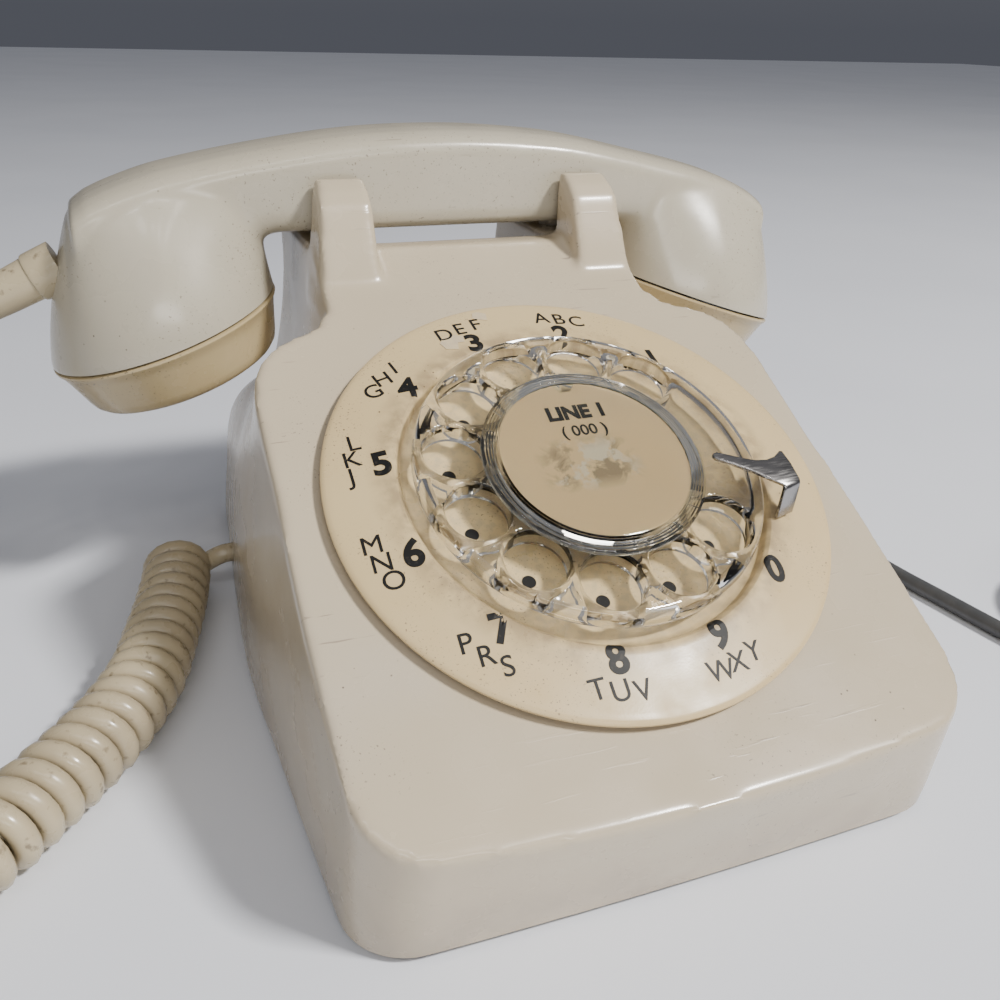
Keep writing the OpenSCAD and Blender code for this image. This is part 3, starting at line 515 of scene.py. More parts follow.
neck_levels = [
    (0.0040, -0.030, 0.1040, 0.056, 0.010, 0.056, 0.0560, 0.015, 0),
    (0.0250, -0.030, 0.1005, 0.053, 0.010, 0.053, 0.0530, 0.014, 0),
    (0.0450, -0.030, 0.0965, 0.050, 0.010, 0.050, 0.0490, 0.012, 0),
    (0.0600, -0.030, 0.0925, 0.0462, 0.010, 0.0462, 0.0448, 0.010, 0),
    (0.0750, -0.030, 0.0880, 0.0436, 0.010, 0.0436, 0.0425, 0.008, 0),
    (0.0900, -0.030, 0.0835, 0.0424, 0.010, 0.0424, 0.0415, 0.006, 0),
    (0.0995, -0.030, 0.0810, 0.0420, 0.010, 0.0420, 0.0410, 0.005, 0)]


def body_loft(name, levels, bottom, top, count, inset):
    rings = []
    for k in range(count + 1):
        z = bottom + (top - bottom) * k / count
        rings.append(body_ring(z, *curve_through(levels, max(z, levels[0][0])), inset))
    return loft(name, rings)


def face_cut(obj, depth):
    """Cuts off all that stands above the sloping face."""
    edit(obj, (bpy.ops.mesh.bisect, {"plane_co": to_row @ Vector((0, 0, face_z - depth)),
                                     "plane_no": to_row.to_3x3() @ Vector((0, 0, 1)),
                                     "use_fill": True, "clear_outer": True}))
    return obj


def combine(obj, other, kind):
    change(obj, "BOOLEAN", operation=kind, solver="EXACT", object=other)
    bpy.data.objects.remove(other)


def block(name, low, high, bevel=0.0):
    """A box between two corners, with rounded edges."""
    low, high = Vector(low), Vector(high)
    bpy.ops.object.select_all(action="DESELECT")
    bpy.ops.mesh.primitive_cube_add(size=1, location=(low + high) / 2, scale=high - low)
    bpy.ops.object.transform_apply(location=True, rotation=True, scale=True)
    if bevel:
        edit(bpy.context.object, (bpy.ops.mesh.bevel, {"offset": bevel, "segments": 3, "affect": "EDGES"}))
    return name_last(name)


def rod(name, low, high, radius, matrix=None, vertices=64, top_radius=None):
    """A round bar along Z from one height to another, then placed."""
    bpy.ops.object.select_all(action="DESELECT")
    bpy.ops.mesh.primitive_cone_add(vertices=vertices, radius1=radius,
                                    radius2=radius if top_radius is None else top_radius,
                                    depth=high - low, location=(0, 0, (high + low) / 2))
    bpy.ops.object.transform_apply(location=True, rotation=True, scale=True)
    obj = name_last(name)
    if matrix is not None:
        obj.data.transform(matrix)
    return obj


# the outer form, each piece lofted and the face cut flat
shell = face_cut(body_loft("housing_shell", body_levels, -0.0060, 0.0900, 42, 0), 0)
neck = face_cut(body_loft("neck", neck_levels, 0.0042, saddle_z, 24, 0), 0)
combine(shell, neck, "UNION")
horn_levels = [(0.0860, 0.0266, 0.0426, 0.0190), (0.0930, 0.0267, 0.0419, 0.0224),
               (0.1000, 0.0268, 0.0412, 0.0254), (0.1110, 0.0268, 0.0402, 0.0302),
               (0.1140, 0.0270, 0.0398, 0.0334), (0.1160, 0.0274, 0.0393, 0.0372)]
rear_levels = [(0.0860, 0.0268, 0.0415, 0.0330), (0.1000, 0.0268, 0.0412, 0.0312),
               (0.1110, 0.0268, 0.0402, 0.0318), (0.1140, 0.0270, 0.0398, 0.0334),
               (0.1160, 0.0274, 0.0393, 0.0372)]
horn_back = handset_y - 0.0163


def horn_rings(side, levels, behind):
    """Rings of one horn; those behind the handset are mirrored about its line."""
    rings = []
    for z, inner, outer, near in levels:
        far = horn_back
        if behind:
            near, far = 2 * handset_y - near, 2 * handset_y - far
        rings.append([(side * inner, near, z), (side * outer, near, z), (side * outer, far, z),
                      (side * inner, far, z)])
    return rings


for side in (-1, 1):
    combine(shell, loft("horn", horn_rings(side, horn_levels, False)), "UNION")
    combine(shell, loft("rear_horn", horn_rings(side, rear_levels, True)), "UNION")
trough_x, trough_y, trough_z, trough_far = 0.0256, 0.0420, 0.0795, 0.1300
trough = block("trough", (-trough_x, trough_y, trough_z), (trough_x, trough_far, trough_far), 0.003)
combine(shell, trough, "DIFFERENCE")
change(shell, "REMESH", mode="VOXEL", voxel_size=0.00095)
change(shell, "SMOOTH", factor=0.5, iterations=10)
edit(shell, (bpy.ops.mesh.bisect, {"plane_co": (0, 0, 0.0018), "plane_no": (0, 0, -1),
                                   "use_fill": True, "clear_outer": True}))

# the hollow inside, the dial's opening and the holes
inner = face_cut(body_loft("inner", body_levels, 0.0008, 0.0860, 16, wall), wall)
combine(shell, inner, "DIFFERENCE")
inner_neck = face_cut(body_loft("inner_neck", neck_levels, 0.0030, saddle_z - wall, 10, wall), wall)
inner_trough = block("inner_trough", (-trough_x - wall, trough_y - wall, trough_z - wall),
                     (trough_x + wall, trough_far, trough_far))
combine(inner_neck, inner_trough, "DIFFERENCE")
combine(shell, inner_neck, "DIFFERENCE")
combine(shell, rod("dial_opening", -0.020, 0.010, 0.0535, to_row, 128), "DIFFERENCE")
for side in (-1, 1):
    combine(shell, rod("plunger_hole", 0.090, 0.104, 0.0040,
                       Matrix.Translation((side * plunger_x, handset_y, 0)), 32), "DIFFERENCE")
combine(shell, rod("lead_hole", -0.014, 0.010, 0.0034,
                   Matrix.Translation(lead_hole) @ Matrix.Rotation(radians(90), 4, "Y"), 32), "DIFFERENCE")
combine(shell, rod("line_hole", -0.012, 0.012, 0.0042,
                   Matrix.Translation((0.046, back_y, 0.012)) @ Matrix.Rotation(radians(90), 4, "X"), 32),
        "DIFFERENCE")

ivory = Finish("housing_ivory", (0.560, 0.475, 0.345), 0.22, Specular_IOR_Level=0.5, Coat_Weight=0.25,
               Coat_Roughness=0.12)
# slow fading of the colour
ivory.clouds(9, 0.38, 0.66, (0.500, 0.420, 0.300), most=0.7)
ivory.clouds(24, 0.55, 0.75, (0.550, 0.490, 0.400), 5, most=0.4)
# painted shade: darker towards the base, where the housing meets the floor, broken by clouds
height = ivory.parts()["Z"]
ivory.within(ivory.span(height, 0.020, 0.004), 60, 0.35, 0.7, (0.330, 0.270, 0.200), 4, 0.1, 0.7)
# dust and grime specks, scuffs and a few dark marks
ivory.within(ivory.span(ivory.noise(1500, 2), 0.66, 0.72), 38, 0.5, 0.66, (0.270, 0.225, 0.175))
ivory.within(ivory.span(ivory.cells(330), 0.085, 0.055), 21, 0.56, 0.64, (0.130, 0.100, 0.075))
scuff_at = ivory.moved((70, 900, 900), (0.2, 0.5, 0.7))
ivory.within(ivory.span(ivory.noise(1, 2, at=scuff_at), 0.69, 0.74), 30, 0.52, 0.62, (0.300, 0.245, 0.190),
             2, most=0.8)
ivory.rough(ivory.noise(55, 5), 0.3, 0.75, 0.17, 0.36)
ivory.skin(2600, 0.03, 0.0002)
ivory.skin(180, 0.04, 0.0006, 3)
ivory.bump(ivory.span(ivory.noise(1, 2, at=scuff_at), 0.66, 0.74), 0.12, 0.0002)
coat(shell, ivory, 35)
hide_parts("housing")
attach(shell, "telephone")

# ---------------------------------------------------------------- base plate, feet and screws
# A pressed steel plate, painted black, closes the bottom. Four moulded rubber feet push
# through it, and four screws hold the housing to it.
base_paint = Finish("base_paint", (0.035, 0.035, 0.037), 0.45)
base_paint.clouds(90, 0.6, 0.8, (0.10, 0.095, 0.09), 5)
base_paint.skin(700, 0.12, 0.0003, 3)
dress(base_paint, "base_plate")

foot_rubber = Finish("foot_rubber", (0.018, 0.018, 0.018), 0.62)
foot_rubber.clouds(400, 0.55, 0.72, (0.06, 0.058, 0.055))
foot_rubber.skin(1500, 0.15, 0.0002)


def turned(name, profile, steps=96, matrix=None, finish=None, smooth=30):
    """A closed solid of revolution, spun from a profile of (radius, height)."""
    mesh = bpy.data.meshes.new(name)
    last = len(profile) - (profile[0][0] <= 1e-6)
    mesh.from_pydata([(r, 0, z) for r, z in profile],
                     [(i, (i + 1) % len(profile)) for i in range(last)], [])
    obj = bpy.data.objects.new(name, mesh)
    bpy.context.scene.collection.objects.link(obj)
    edit(obj, (bpy.ops.mesh.spin, {"steps": steps, "angle": 2 * pi, "center": (0, 0, 0),
                                   "axis": (0, 0, 1), "dupli": False}),
         (bpy.ops.mesh.remove_doubles, {"threshold": 1e-6}), outward)
    if matrix is not None:
        mesh.transform(matrix)
    bpy.ops.object.shade_smooth_by_angle(angle=radians(smooth))
    if finish:
        mesh.materials.append(finish.material)
    return obj


def joined(name, pieces):
    bpy.ops.object.select_all(action="DESELECT")
    for piece in pieces:
        piece.select_set(True)
    bpy.context.view_layer.objects.active = pieces[0]
    if len(pieces) > 1:
        bpy.ops.object.join()
    obj = bpy.context.view_layer.objects.active
    obj.name = obj.data.name = name
    return obj


foot_profile = [(0, 0), (0.0058, 0), (0.0063, 0.0003), (0.0066, 0.0009), (0.0069, 0.0022),
                (0.0066, 0.0023), (0.0038, 0.0023), (0.0038, 0.0044), (0.0025, 0.0044),
                (0.0025, 0.0060), (0.0036, 0.0061), (0.0034, 0.0070), (0.0015, 0.0074), (0, 0.0074)]
feet = joined("rubber_feet", [
    turned("foot", foot_profile, 48, Matrix.Translation((x, y, 0)), foot_rubber)
    for x, y in ((-0.0525, -0.0864), (0.0525, -0.0864), (-0.050, 0.085), (0.050, 0.085))])
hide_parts("feet")
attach(feet, "telephone")

# ---------------------------------------------------------------- number plate
# A yellowed dish that covers the dial's works: a rolled rim, a ridge round the finger wheel
# and a sunk middle with a dot under each finger hole. Digits and letters are printed on it.
plate_profile = mm([(7.0, -8.5), (38.5, -8.5), (39.3, -8.35), (39.9, -7.9), (40.4, -6.6), (40.8, -5.9),
                    (41.4, -5.5), (42.2, -5.45), (43.2, -5.65), (45.5, -6.1), (48.5, -6.62),
                    (51.5, -7.1), (54.0, -7.5), (55.2, -7.7), (55.9, -7.95), (56.25, -8.3),
                    (56.3, -8.7), (56.1, -9.1), (55.7, -9.25), (55.2, -9.2), (54.9, -8.9), (53.5, -8.6),
                    (48.5, -8.0), (43.5, -7.2), (42.0, -7.1), (41.6, -7.6), (41.2, -10.1), (7.0, -10.1)])
cream = Finish("plate_cream", (0.650, 0.500, 0.265), 0.3, Specular_IOR_Level=0.5)
cream.clouds(16, 0.4, 0.65, (0.580, 0.435, 0.225), most=0.6)
on_dial = dial_place(cream)
reach = cream.math("SQRT", cream.math("ADD", cream.math("MULTIPLY", on_dial["X"], on_dial["X"]),
                                      cream.math("MULTIPLY", on_dial["Y"], on_dial["Y"])))
near_ridge = cream.math("MULTIPLY", cream.span(reach, 0.0355, 0.0405), cream.span(reach, 0.0475, 0.0415))
# grime along the ridge, wear inside it, and specks
cream.within(near_ridge, 230, 0.36, 0.62, (0.260, 0.190, 0.110), 5, most=0.75)
cream.within(cream.span(reach, 0.0405, 0.0370), 600, 0.45, 0.62, (0.400, 0.330, 0.220), 4, most=0.4)
cream.within(cream.span(cream.noise(2100, 2), 0.64, 0.70), 60, 0.44, 0.6, (0.250, 0.180, 0.110))
cream.within(cream.span(cream.cells(420), 0.10, 0.06), 34, 0.58, 0.64, (0.080, 0.050, 0.030))
cream.rough(cream.noise(90, 5), 0.3, 0.75, 0.22, 0.5)
cream.skin(2400, 0.05, 0.0002)
number_plate = turned("number_plate_dish", plate_profile, 192, to_row, cream)
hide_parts("number_plate")
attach(number_plate, "telephone")

ink = Finish("printing_ink", (0.006, 0.006, 0.006), 0.5, Specular_IOR_Level=0.3)
ink.clouds(900, 0.58, 0.70, (0.05, 0.04, 0.03), 3, most=0.5)
ink.skin(2000, 0.05, 0.0001)
first_hole, hole_step, hole_r = 46.5, 30, 0.0295


def plate_height(r):
    """Height of the plate's top at a radius, in the dial's frame."""
    rows = plate_profile[:18]
    for (r0, z0), (r1, z1) in zip(rows, rows[1:]):
        if r <= r1:
            return z0 + (z1 - z0) * (r - r0) / (r1 - r0)
    return rows[-1][1]


def glyph(text, x, y, size, weight, height=plate_height, turn=0.0):
    """A printed character, laid on a surface round the dial."""
    bpy.ops.object.select_all(action="DESELECT")
    bpy.ops.object.text_add(location=(0, 0, 0))
    obj = bpy.context.object
    obj.data.body = text
    obj.data.align_x, obj.data.align_y = "CENTER", "CENTER"
    obj.data.size = size
    obj.data.offset = weight
    obj.data.extrude = 0.00006
    obj.data.resolution_u = 5
    bpy.ops.object.convert(target="MESH")
    obj = bpy.context.object
    edit(obj, (bpy.ops.mesh.remove_doubles, {"threshold": 1e-7}), (bpy.ops.mesh.quads_convert_to_tris, {}),
         (bpy.ops.mesh.subdivide, {"number_cuts": 2}))
    spin = Matrix.Rotation(turn, 3, "Z")
    for v in obj.data.vertices:
        p = spin @ Vector((v.co.x, v.co.y, 0))
        p = Vector((p.x + x, p.y + y, 0))
        p.z = height(sqrt(p.x * p.x + p.y * p.y)) + v.co.z + 0.00006
        v.co = to_row @ p
    obj.data.materials.append(ink.material)
    return obj


def around(angle, r):
    return r * cos(radians(angle)), r * sin(radians(angle))


letters = {2: "ABC", 3: "DEF", 4: "GHI", 5: "JKL", 6: "MNO", 7: "PRS", 8: "TUV", 9: "WXY"}
printed = []
for i in range(10):
    digit = (i + 1) % 10
    angle = first_hole + hole_step * i
    printed.append(glyph(str(digit), *around(angle, 0.0439), 0.0084, 0.00028))
    for j, letter in enumerate(letters.get(digit, "")):
        step = 5.1 * (1 - j) if digit < 6 else 5.1 * (j - 1)
        step -= 1.6 if digit in (5, 6) else 0
        lean = radians((angle + step - 90) * 0.3) if digit < 5 else 0
        printed.append(glyph(letter, *around(angle + step, 0.0500), 0.0059, 0.0, turn=lean))
printing = joined("dial_printing", printed)
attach(printing, "telephone")

# one printed dot under each finger hole
dots = []
for i in range(10):
    x, y = around(first_hole + hole_step * i, hole_r)
    dots.append(turned("dot", [(0, -0.00850), (0.00150, -0.00850), (0.00145, -0.00843), (0, -0.00842)], 24,
                       to_row @ Matrix.Translation((x, y, 0)), ink))
dots = joined("target_dots", dots)
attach(dots, "telephone")

# what is left of a paper label stuck beside the digits, and a smaller scrap of it
paper = Finish("label_paper", (0.620, 0.510, 0.330), 0.85, Specular_IOR_Level=0.2)
paper.clouds(500, 0.45, 0.65, (0.560, 0.460, 0.320))
paper.skin(1300, 0.2, 0.0002, 3)


def scrap(name, outline, thick):
    """A thin flat piece that follows the plate."""
    lift = 0.00003
    points = [Vector((x / 1000, y / 1000, 0)) for x, y in outline]
    for p in points:
        p.z = plate_height(p.length) + lift
    obj = loft(name, [[tuple(to_row @ p) for p in points],
                      [tuple(to_row @ (p + Vector((0, 0, thick)))) for p in points]])
    obj.data.materials.append(paper.material)
    return obj


label = joined("label_remnant", [
    scrap("label", [(-19.6, 41.3), (-16.8, 40.6), (-16.2, 43.1), (-14.6, 43.1), (-14.2, 45.2),
                    (-16.4, 46.0), (-19.2, 45.3), (-20.4, 43.6)], 0.00009),
    scrap("label", [(-9.8, 51.6), (-6.4, 50.4), (-5.9, 53.2), (-8.0, 54.1), (-9.3, 53.6)], 0.00007)])
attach(label, "telephone")

# ---------------------------------------------------------------- finger wheel
# Moulded in one piece of clear plastic: a flat disc with a rolled edge, and a thick collar
# round each of the ten finger holes that reaches nearly down to the plate.
hole_radius = 0.00675
clear = Finish("clear_plastic", (0.955, 0.950, 0.925), 0.03, IOR=1.47, Transmission_Weight=1.0)
clear.rough(clear.noise(170, 4), 0.5, 0.8, 0.015, 0.16)
clear.skin(60, 0.03, 0.0005)
wheel = turned("clear_finger_wheel", [
    (0.0031, -0.0026), (0.0340, -0.0026), (0.0351, -0.0029), (0.0357, -0.0042), (0.0361, -0.0048),
    (0.0368, -0.0050), (0.0376, -0.0048), (0.0381, -0.0041), (0.0381, -0.0018), (0.0378, -0.0009),
    (0.0370, -0.0003), (0.0358, 0), (0.0031, 0)], 160, smooth=40)
collar_profile = [(0.0060, -0.0050), (0.0079, -0.0050), (0.0078, -0.0012), (0.0078, -0.0004),
                  (0.0060, -0.0004)]
hole_profile = [(0, -0.0060), (hole_radius, -0.0060), (hole_radius, -0.0012), (hole_radius + 0.0001, -0.0006),
                (hole_radius + 0.0004, -0.0002), (hole_radius + 0.0010, 0.00008),
                (hole_radius + 0.0012, 0.0010), (0, 0.0010)]
spots = [Matrix.Translation((*around(first_hole + hole_step * i, hole_r), 0)) for i in range(10)]
for spot in spots:
    combine(wheel, turned("collar", collar_profile, 64, spot), "UNION")
for i, spot in enumerate(spots):
    uncut = wheel.data.copy()
    for nudge in (0.0, 0.9, 2.3, 3.7, 4.9):
        # a cut that leaves a skin across the hole is made again, a little turned
        combine(wheel, turned("finger_hole", hole_profile, 64,
                              spot @ Matrix.Rotation(radians(nudge), 4, "Z")), "DIFFERENCE")
        tries = [spot @ Vector((r * cos(a), r * sin(a), 0.02)) for r in (0.00104, 0.0052) for a in range(6)]
        whole = len(wheel.data.polygons) > len(uncut.polygons) / 2
        if whole and not any(wheel.ray_cast(p, (0, 0, -1))[0] for p in tries):
            break
        print("finger hole", i, "cut again")
        wheel.data = uncut.copy()
wheel.data.transform(to_row)
coat(wheel, clear, 40)
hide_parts("finger_wheel")
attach(wheel, "dial_rotor")

# ---------------------------------------------------------------- number card and its cover
# A round paper card, yellowed and stained, under a clear disc that snaps into the wheel. Fine
# rings are moulded into the disc's edge and have caught grime.
card = Finish("card_paper", (0.720, 0.530, 0.300), 0.75)
card.clouds(40, 0.4, 0.66, (0.690, 0.520, 0.315), most=0.8)
across, up = dial_place(card)[:2]
# the rubbed middle, stained brown and torn to a paler layer
rub = card.math("MULTIPLY", card.span(across, -0.0135, -0.0080), card.span(across, 0.0105, 0.0045))
rub = card.math("MULTIPLY", rub, card.math("MULTIPLY", card.span(up, -0.0085, -0.0050),
                                           card.span(up, 0.0062, 0.0020)))
stain = card.span(card.noise(170, 5, 0.62, distort=0.6), 0.47, 0.56)
card.tint(card.math("MULTIPLY", rub, stain), (0.300, 0.225, 0.135))
torn = card.span(card.noise(120, 5, 0.6), 0.55, 0.60)
card.tint(card.math("MULTIPLY", rub, torn), (0.720, 0.640, 0.500))
card.skin(1500, 0.15, 0.0002, 3)
outline = []
for k in range(96):
    a = 360 * k / 96
    r = 0.0206 - (0.0022 if 84 < a < 95 else 0.0) - 0.00006 * sin(a * 0.7)
    outline.append((r * cos(radians(a)), r * sin(radians(a))))
card_top = 0.00045
paper_card = loft("paper_card", [[tuple(to_row @ Vector((x, y, z))) for x, y in outline]
                                 for z in (0.00012, card_top)])
paper_card.data.materials.append(card.material)
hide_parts("number_card")
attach(paper_card, "dial_rotor")
words = joined("card_printing", [
    glyph("LINE 1", 0.0004, 0.0123, 0.0050, 0.00022, height=lambda r: card_top),
    glyph("( 000 )", 0.0004, 0.0073, 0.0040, 0.00004, height=lambda r: card_top)])
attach(words, "dial_rotor")

rings = [(0, 0.0018), (0.0202, 0.0018), (0.0206, 0.00165)]
for k in range(5):
    rings += [(0.0209 + 0.00062 * k, 0.00120 - 0.00007 * k), (0.0212 + 0.00062 * k, 0.00158 - 0.00009 * k)]
rings += [(0.0241, 0.00100), (0.0243, 0.00075), (0.0243, 0.00002), (0.0211, 0.00002), (0.0211, 0.00060),
          (0, 0.00060)]
cover = Finish("cover_plastic", (0.93, 0.93, 0.87), 0.05, IOR=1.47, Transmission_Weight=1.0)
cover.rough(cover.noise(140, 4), 0.5, 0.8, 0.02, 0.1)
cover.skin(60, 0.02, 0.0003)
cover_disc = turned("card_cover", rings, 128, to_row, cover, 25)
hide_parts("card_retainer")
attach(cover_disc, "dial_rotor")
grime = Finish("ring_grime", (0.085, 0.090, 0.055), 0.6)
grime.clouds(350, 0.45, 0.62, (0.30, 0.26, 0.17))
grime.skin(900, 0.2, 0.0002, 3)
grime_ring = turned("cover_grime", [(0.02075, 0.00004), (0.02105, 0.00004), (0.02105, 0.00055),
                                    (0.02075, 0.00055)], 96, to_row, grime)
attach(grime_ring, "dial_rotor")

# ---------------------------------------------------------------- finger stop
# A hook of polished steel strip that reaches over the wheel. Its blade narrows to a rounded
# tip, and its foot bends down to the number plate.
steel = Finish("stop_steel", (0.34, 0.33, 0.325), 0.16, Metallic=1.0)
steel.clouds(140, 0.5, 0.7, (0.24, 0.235, 0.23))
steel.rough(steel.noise(1, 3, at=steel.moved((260, 2400, 400), (0, 0, 0.5))), 0.3, 0.7, 0.12, 0.34)
steel.bump(steel.noise(1, 3, at=steel.moved((260, 2400, 400), (0, 0, 0.5))), 0.05, 0.0002)
stop_outline = [(26.5, -5.4), (26.0, -4.6), (26.4, -3.8), (27.3, -3.6), (29.6, -4.6), (32.4, -6.0),
                (35.4, -7.1), (38.2, -7.4), (40.4, -6.9), (42.4, -5.6), (43.1, -5.7), (43.5, -9.2),
                (43.4, -13.6), (38.9, -14.6), (36.6, -12.6), (33.6, -10.0), (29.8, -7.4)]
stop_z = 1.5
mesh = bpy.data.meshes.new("finger_stop_blade")
points = [(x, y, stop_z) for x, y in stop_outline]
bend_rows = [(0.5, -0.25), (1.0, -1.0), (2.4, -3.7), (3.7, -6.4)]
points += [(x - 0.25 * out, y - out, stop_z + down) for out, down in bend_rows
           for x, y in stop_outline[12:14]]
n = len(stop_outline)
faces = [tuple(range(n)), (13, 12, n, n + 1)]
faces += [(n + 2 * k + 1, n + 2 * k, n + 2 * k + 2, n + 2 * k + 3) for k in range(len(bend_rows) - 1)]
mesh.from_pydata([Vector(p) / 1000 for p in points], [], faces)
mesh.transform(to_row)
stop = bpy.data.objects.new("finger_stop_blade", mesh)
bpy.context.scene.collection.objects.link(stop)
edit(stop, outward)
change(stop, "SOLIDIFY", thickness=0.0010, offset=0.0)
change(stop, "BEVEL", width=0.00028, segments=3, limit_method="ANGLE", angle_limit=radians(50))
coat(stop, steel, 45)
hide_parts("finger_stop")
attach(stop, "telephone")

# ---------------------------------------------------------------- handset handle
# One moulding: a bar with a crowned back and a crease along each side, which spreads at both
# ends into a round head. The heads lean outwards, and the caps screw on below them.
handle_top = [(-0.0975, 0.1085), (-0.0930, 0.1118), (-0.0840, 0.1155), (-0.0740, 0.1185), (-0.0500, 0.1230),
              (-0.0250, 0.1262), (0, 0.1270), (0.0200, 0.1260), (0.0350, 0.1243), (0.0570, 0.1198),
              (0.0740, 0.1160), (0.0850, 0.1125), (0.0930, 0.1090), (0.0975, 0.1060)]
underside_z = 0.1022
head_r = 0.0303
grey_ivory = Finish("handle_ivory", (0.480, 0.440, 0.345), 0.26, Specular_IOR_Level=0.5, Coat_Weight=0.25,
                    Coat_Roughness=0.14)
grey_ivory.clouds(14, 0.4, 0.66, (0.430, 0.385, 0.290), most=0.7)
grey_ivory.within(grey_ivory.span(grey_ivory.noise(1500, 2), 0.655, 0.71), 40, 0.46, 0.62,
                  (0.250, 0.215, 0.165))
grey_ivory.within(grey_ivory.span(grey_ivory.cells(300), 0.085, 0.055), 24, 0.54, 0.62,
                  (0.150, 0.120, 0.090))
mark_at = grey_ivory.moved((60, 800, 800), (0.3, 0.2, 0.15))
grey_ivory.within(grey_ivory.span(grey_ivory.noise(1, 2, at=mark_at), 0.68, 0.74), 28, 0.5, 0.62,
                  (0.330, 0.290, 0.225), 2, most=0.7)
grey_ivory.rough(grey_ivory.noise(60, 5), 0.3, 0.75, 0.18, 0.38)
grey_ivory.skin(2600, 0.03, 0.0002)
grey_ivory.skin(160, 0.04, 0.0006, 3)


def under_head(side):
    """The frame of a cap: its centre, turned so that Z points out of the head's top."""
    seat = Matrix.Translation((side * 0.0775, handset_y, 0.0785))
    return seat @ Matrix.Rotation(side * radians(18), 4, "Y")


def back_height(x):
    return curve_through(handle_top, x)[0]


# the bar, from one head to the other
bar_sections = []
for k in range(49):
    x = -0.0968 + 0.1936 * k / 48
    top = back_height(x)
    low = underside_z + max(0, abs(x) - 0.048) * -0.16
    crease = top - 0.0042 - 0.0006 * cos(x / 0.06)
    section = [(0, 0), (0.0050, -0.00012), (0.0100, -0.0007), (0.0132, -0.0019), (0.0148, -0.0033)]
    half = [(y, top + dz) for y, dz in section] + [(0.0155, crease - 0.0008), (0.0155, crease - 0.0040)]
    half += [(0.0152, low + 0.0040), (0.0143, low + 0.0016), (0.0122, low + 0.0002), (0.0090, low - 0.0003),
             (0, low - 0.0004)]
    full = half + [(-y, z) for y, z in reversed(half[1:-1])]
    bar_sections.append([(x, handset_y + y, z) for y, z in full])
handle = loft("handset_handle_shape", bar_sections)

# each head: from the round seat of its cap up to the bar's flat end
for side in (-1, 1):
    frame_in = under_head(side)
    rings = [[tuple(frame_in @ Vector((head_r * cos(2 * pi * j / 96), head_r * sin(2 * pi * j / 96), -0.004)))
              for j in range(96)]]
    for k in range(29):
        t = k / 28
        ring = []
        for j in range(96):
            a = 2 * pi * j / 96
            seat = frame_in @ Vector((head_r * cos(a), head_r * sin(a), 0))
            # the upper outline is a rounded rectangle, wide at the outer end
            reach = (abs(cos(a)) ** 5 + abs(sin(a)) ** 5) ** -0.2
            half_width = 0.0140 * sin(a) * reach
            world_x = side * (0.0780 + (cos(a) * side) * reach * (0.0200 if cos(a) * side > 0 else 0.0250))
            height_there = back_height(max(-0.0975, min(0.0975, world_x)))
            top = Vector((world_x, handset_y + half_width, height_there - 0.0030))
            ease = t ** 1.55
            inner = max(0.0, -cos(a) * side)
            ease_here = ease * (1 - inner) + (1 - (1 - t) ** 1.35) * inner
            p = seat.lerp(top, ease_here)
            p.z = seat.z + (top.z - seat.z) * t
            ring.append(tuple(p))
        rings.append(ring)
    combine(handle, loft("head", rings), "UNION")
change(handle, "REMESH", mode="VOXEL", voxel_size=0.00085)
# the joints between bar and heads are drawn into soft hollows
ends = handle.vertex_groups.new(name="ends")
for v in handle.data.vertices:
    x, y, z = abs(v.co.x), v.co.y - handset_y, v.co.z
    share = max(0.0, 1 - abs(x - 0.052) / 0.016) * (1.0 if z < 0.112 else max(0.0, 1 - (z - 0.112) / 0.006))
    if share > 0:
        ends.add([v.index], min(1.0, share), "REPLACE")
change(handle, "SMOOTH", factor=0.5, iterations=7)
change(handle, "SMOOTH", factor=0.5, iterations=60, vertex_group="ends")
for side in (-1, 1):
    # a flat seat, and the pocket for the unit above the cap
    floor_cut = block("seat_cut", (-0.040, -0.040, -0.020), (0.040, 0.040, 0.00006))
    floor_cut.data.transform(under_head(side))
    combine(handle, floor_cut, "DIFFERENCE")
    combine(handle, rod("pocket", -0.002, 0.0090, 0.0262, under_head(side), 96, 0.0238), "DIFFERENCE")
coat(handle, grey_ivory, 40)
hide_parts("handset_handle")
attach(handle, "handset")

# ---------------------------------------------------------------- handset caps
# Two screwed caps, yellower than the handle. Under a thin lip each tapers to a rounded face
# with rings of sound holes; the transmitter's has more of them.
cap_cream = Finish("cap_cream", (0.520, 0.415, 0.235), 0.28, Specular_IOR_Level=0.5, Coat_Weight=0.2,
                   Coat_Roughness=0.12)
cap_cream.clouds(30, 0.42, 0.66, (0.450, 0.345, 0.175), most=0.75)
cap_cream.within(cap_cream.span(cap_cream.noise(1300, 2), 0.64, 0.7), 50, 0.45, 0.6, (0.220, 0.165, 0.100))
cap_cream.rough(cap_cream.noise(90, 4), 0.3, 0.75, 0.2, 0.4)
cap_cream.skin(1900, 0.05, 0.0002)
cap_profile = mm([(0, -14.9), (21.0, -14.9), (23.0, -14.6), (24.6, -13.9), (25.7, -12.8), (26.4, -11.2),
                  (27.6, -7.6), (28.7, -4.4), (29.5, -2.4), (30.1, -1.7), (30.35, -1.2), (30.3, -0.75),
                  (29.8, -0.5), (28.6, -0.5), (28.2, -1.0), (27.0, -4.2), (25.5, -9.0), (24.4, -11.6),
                  (22.6, -12.6), (0, -12.6)])
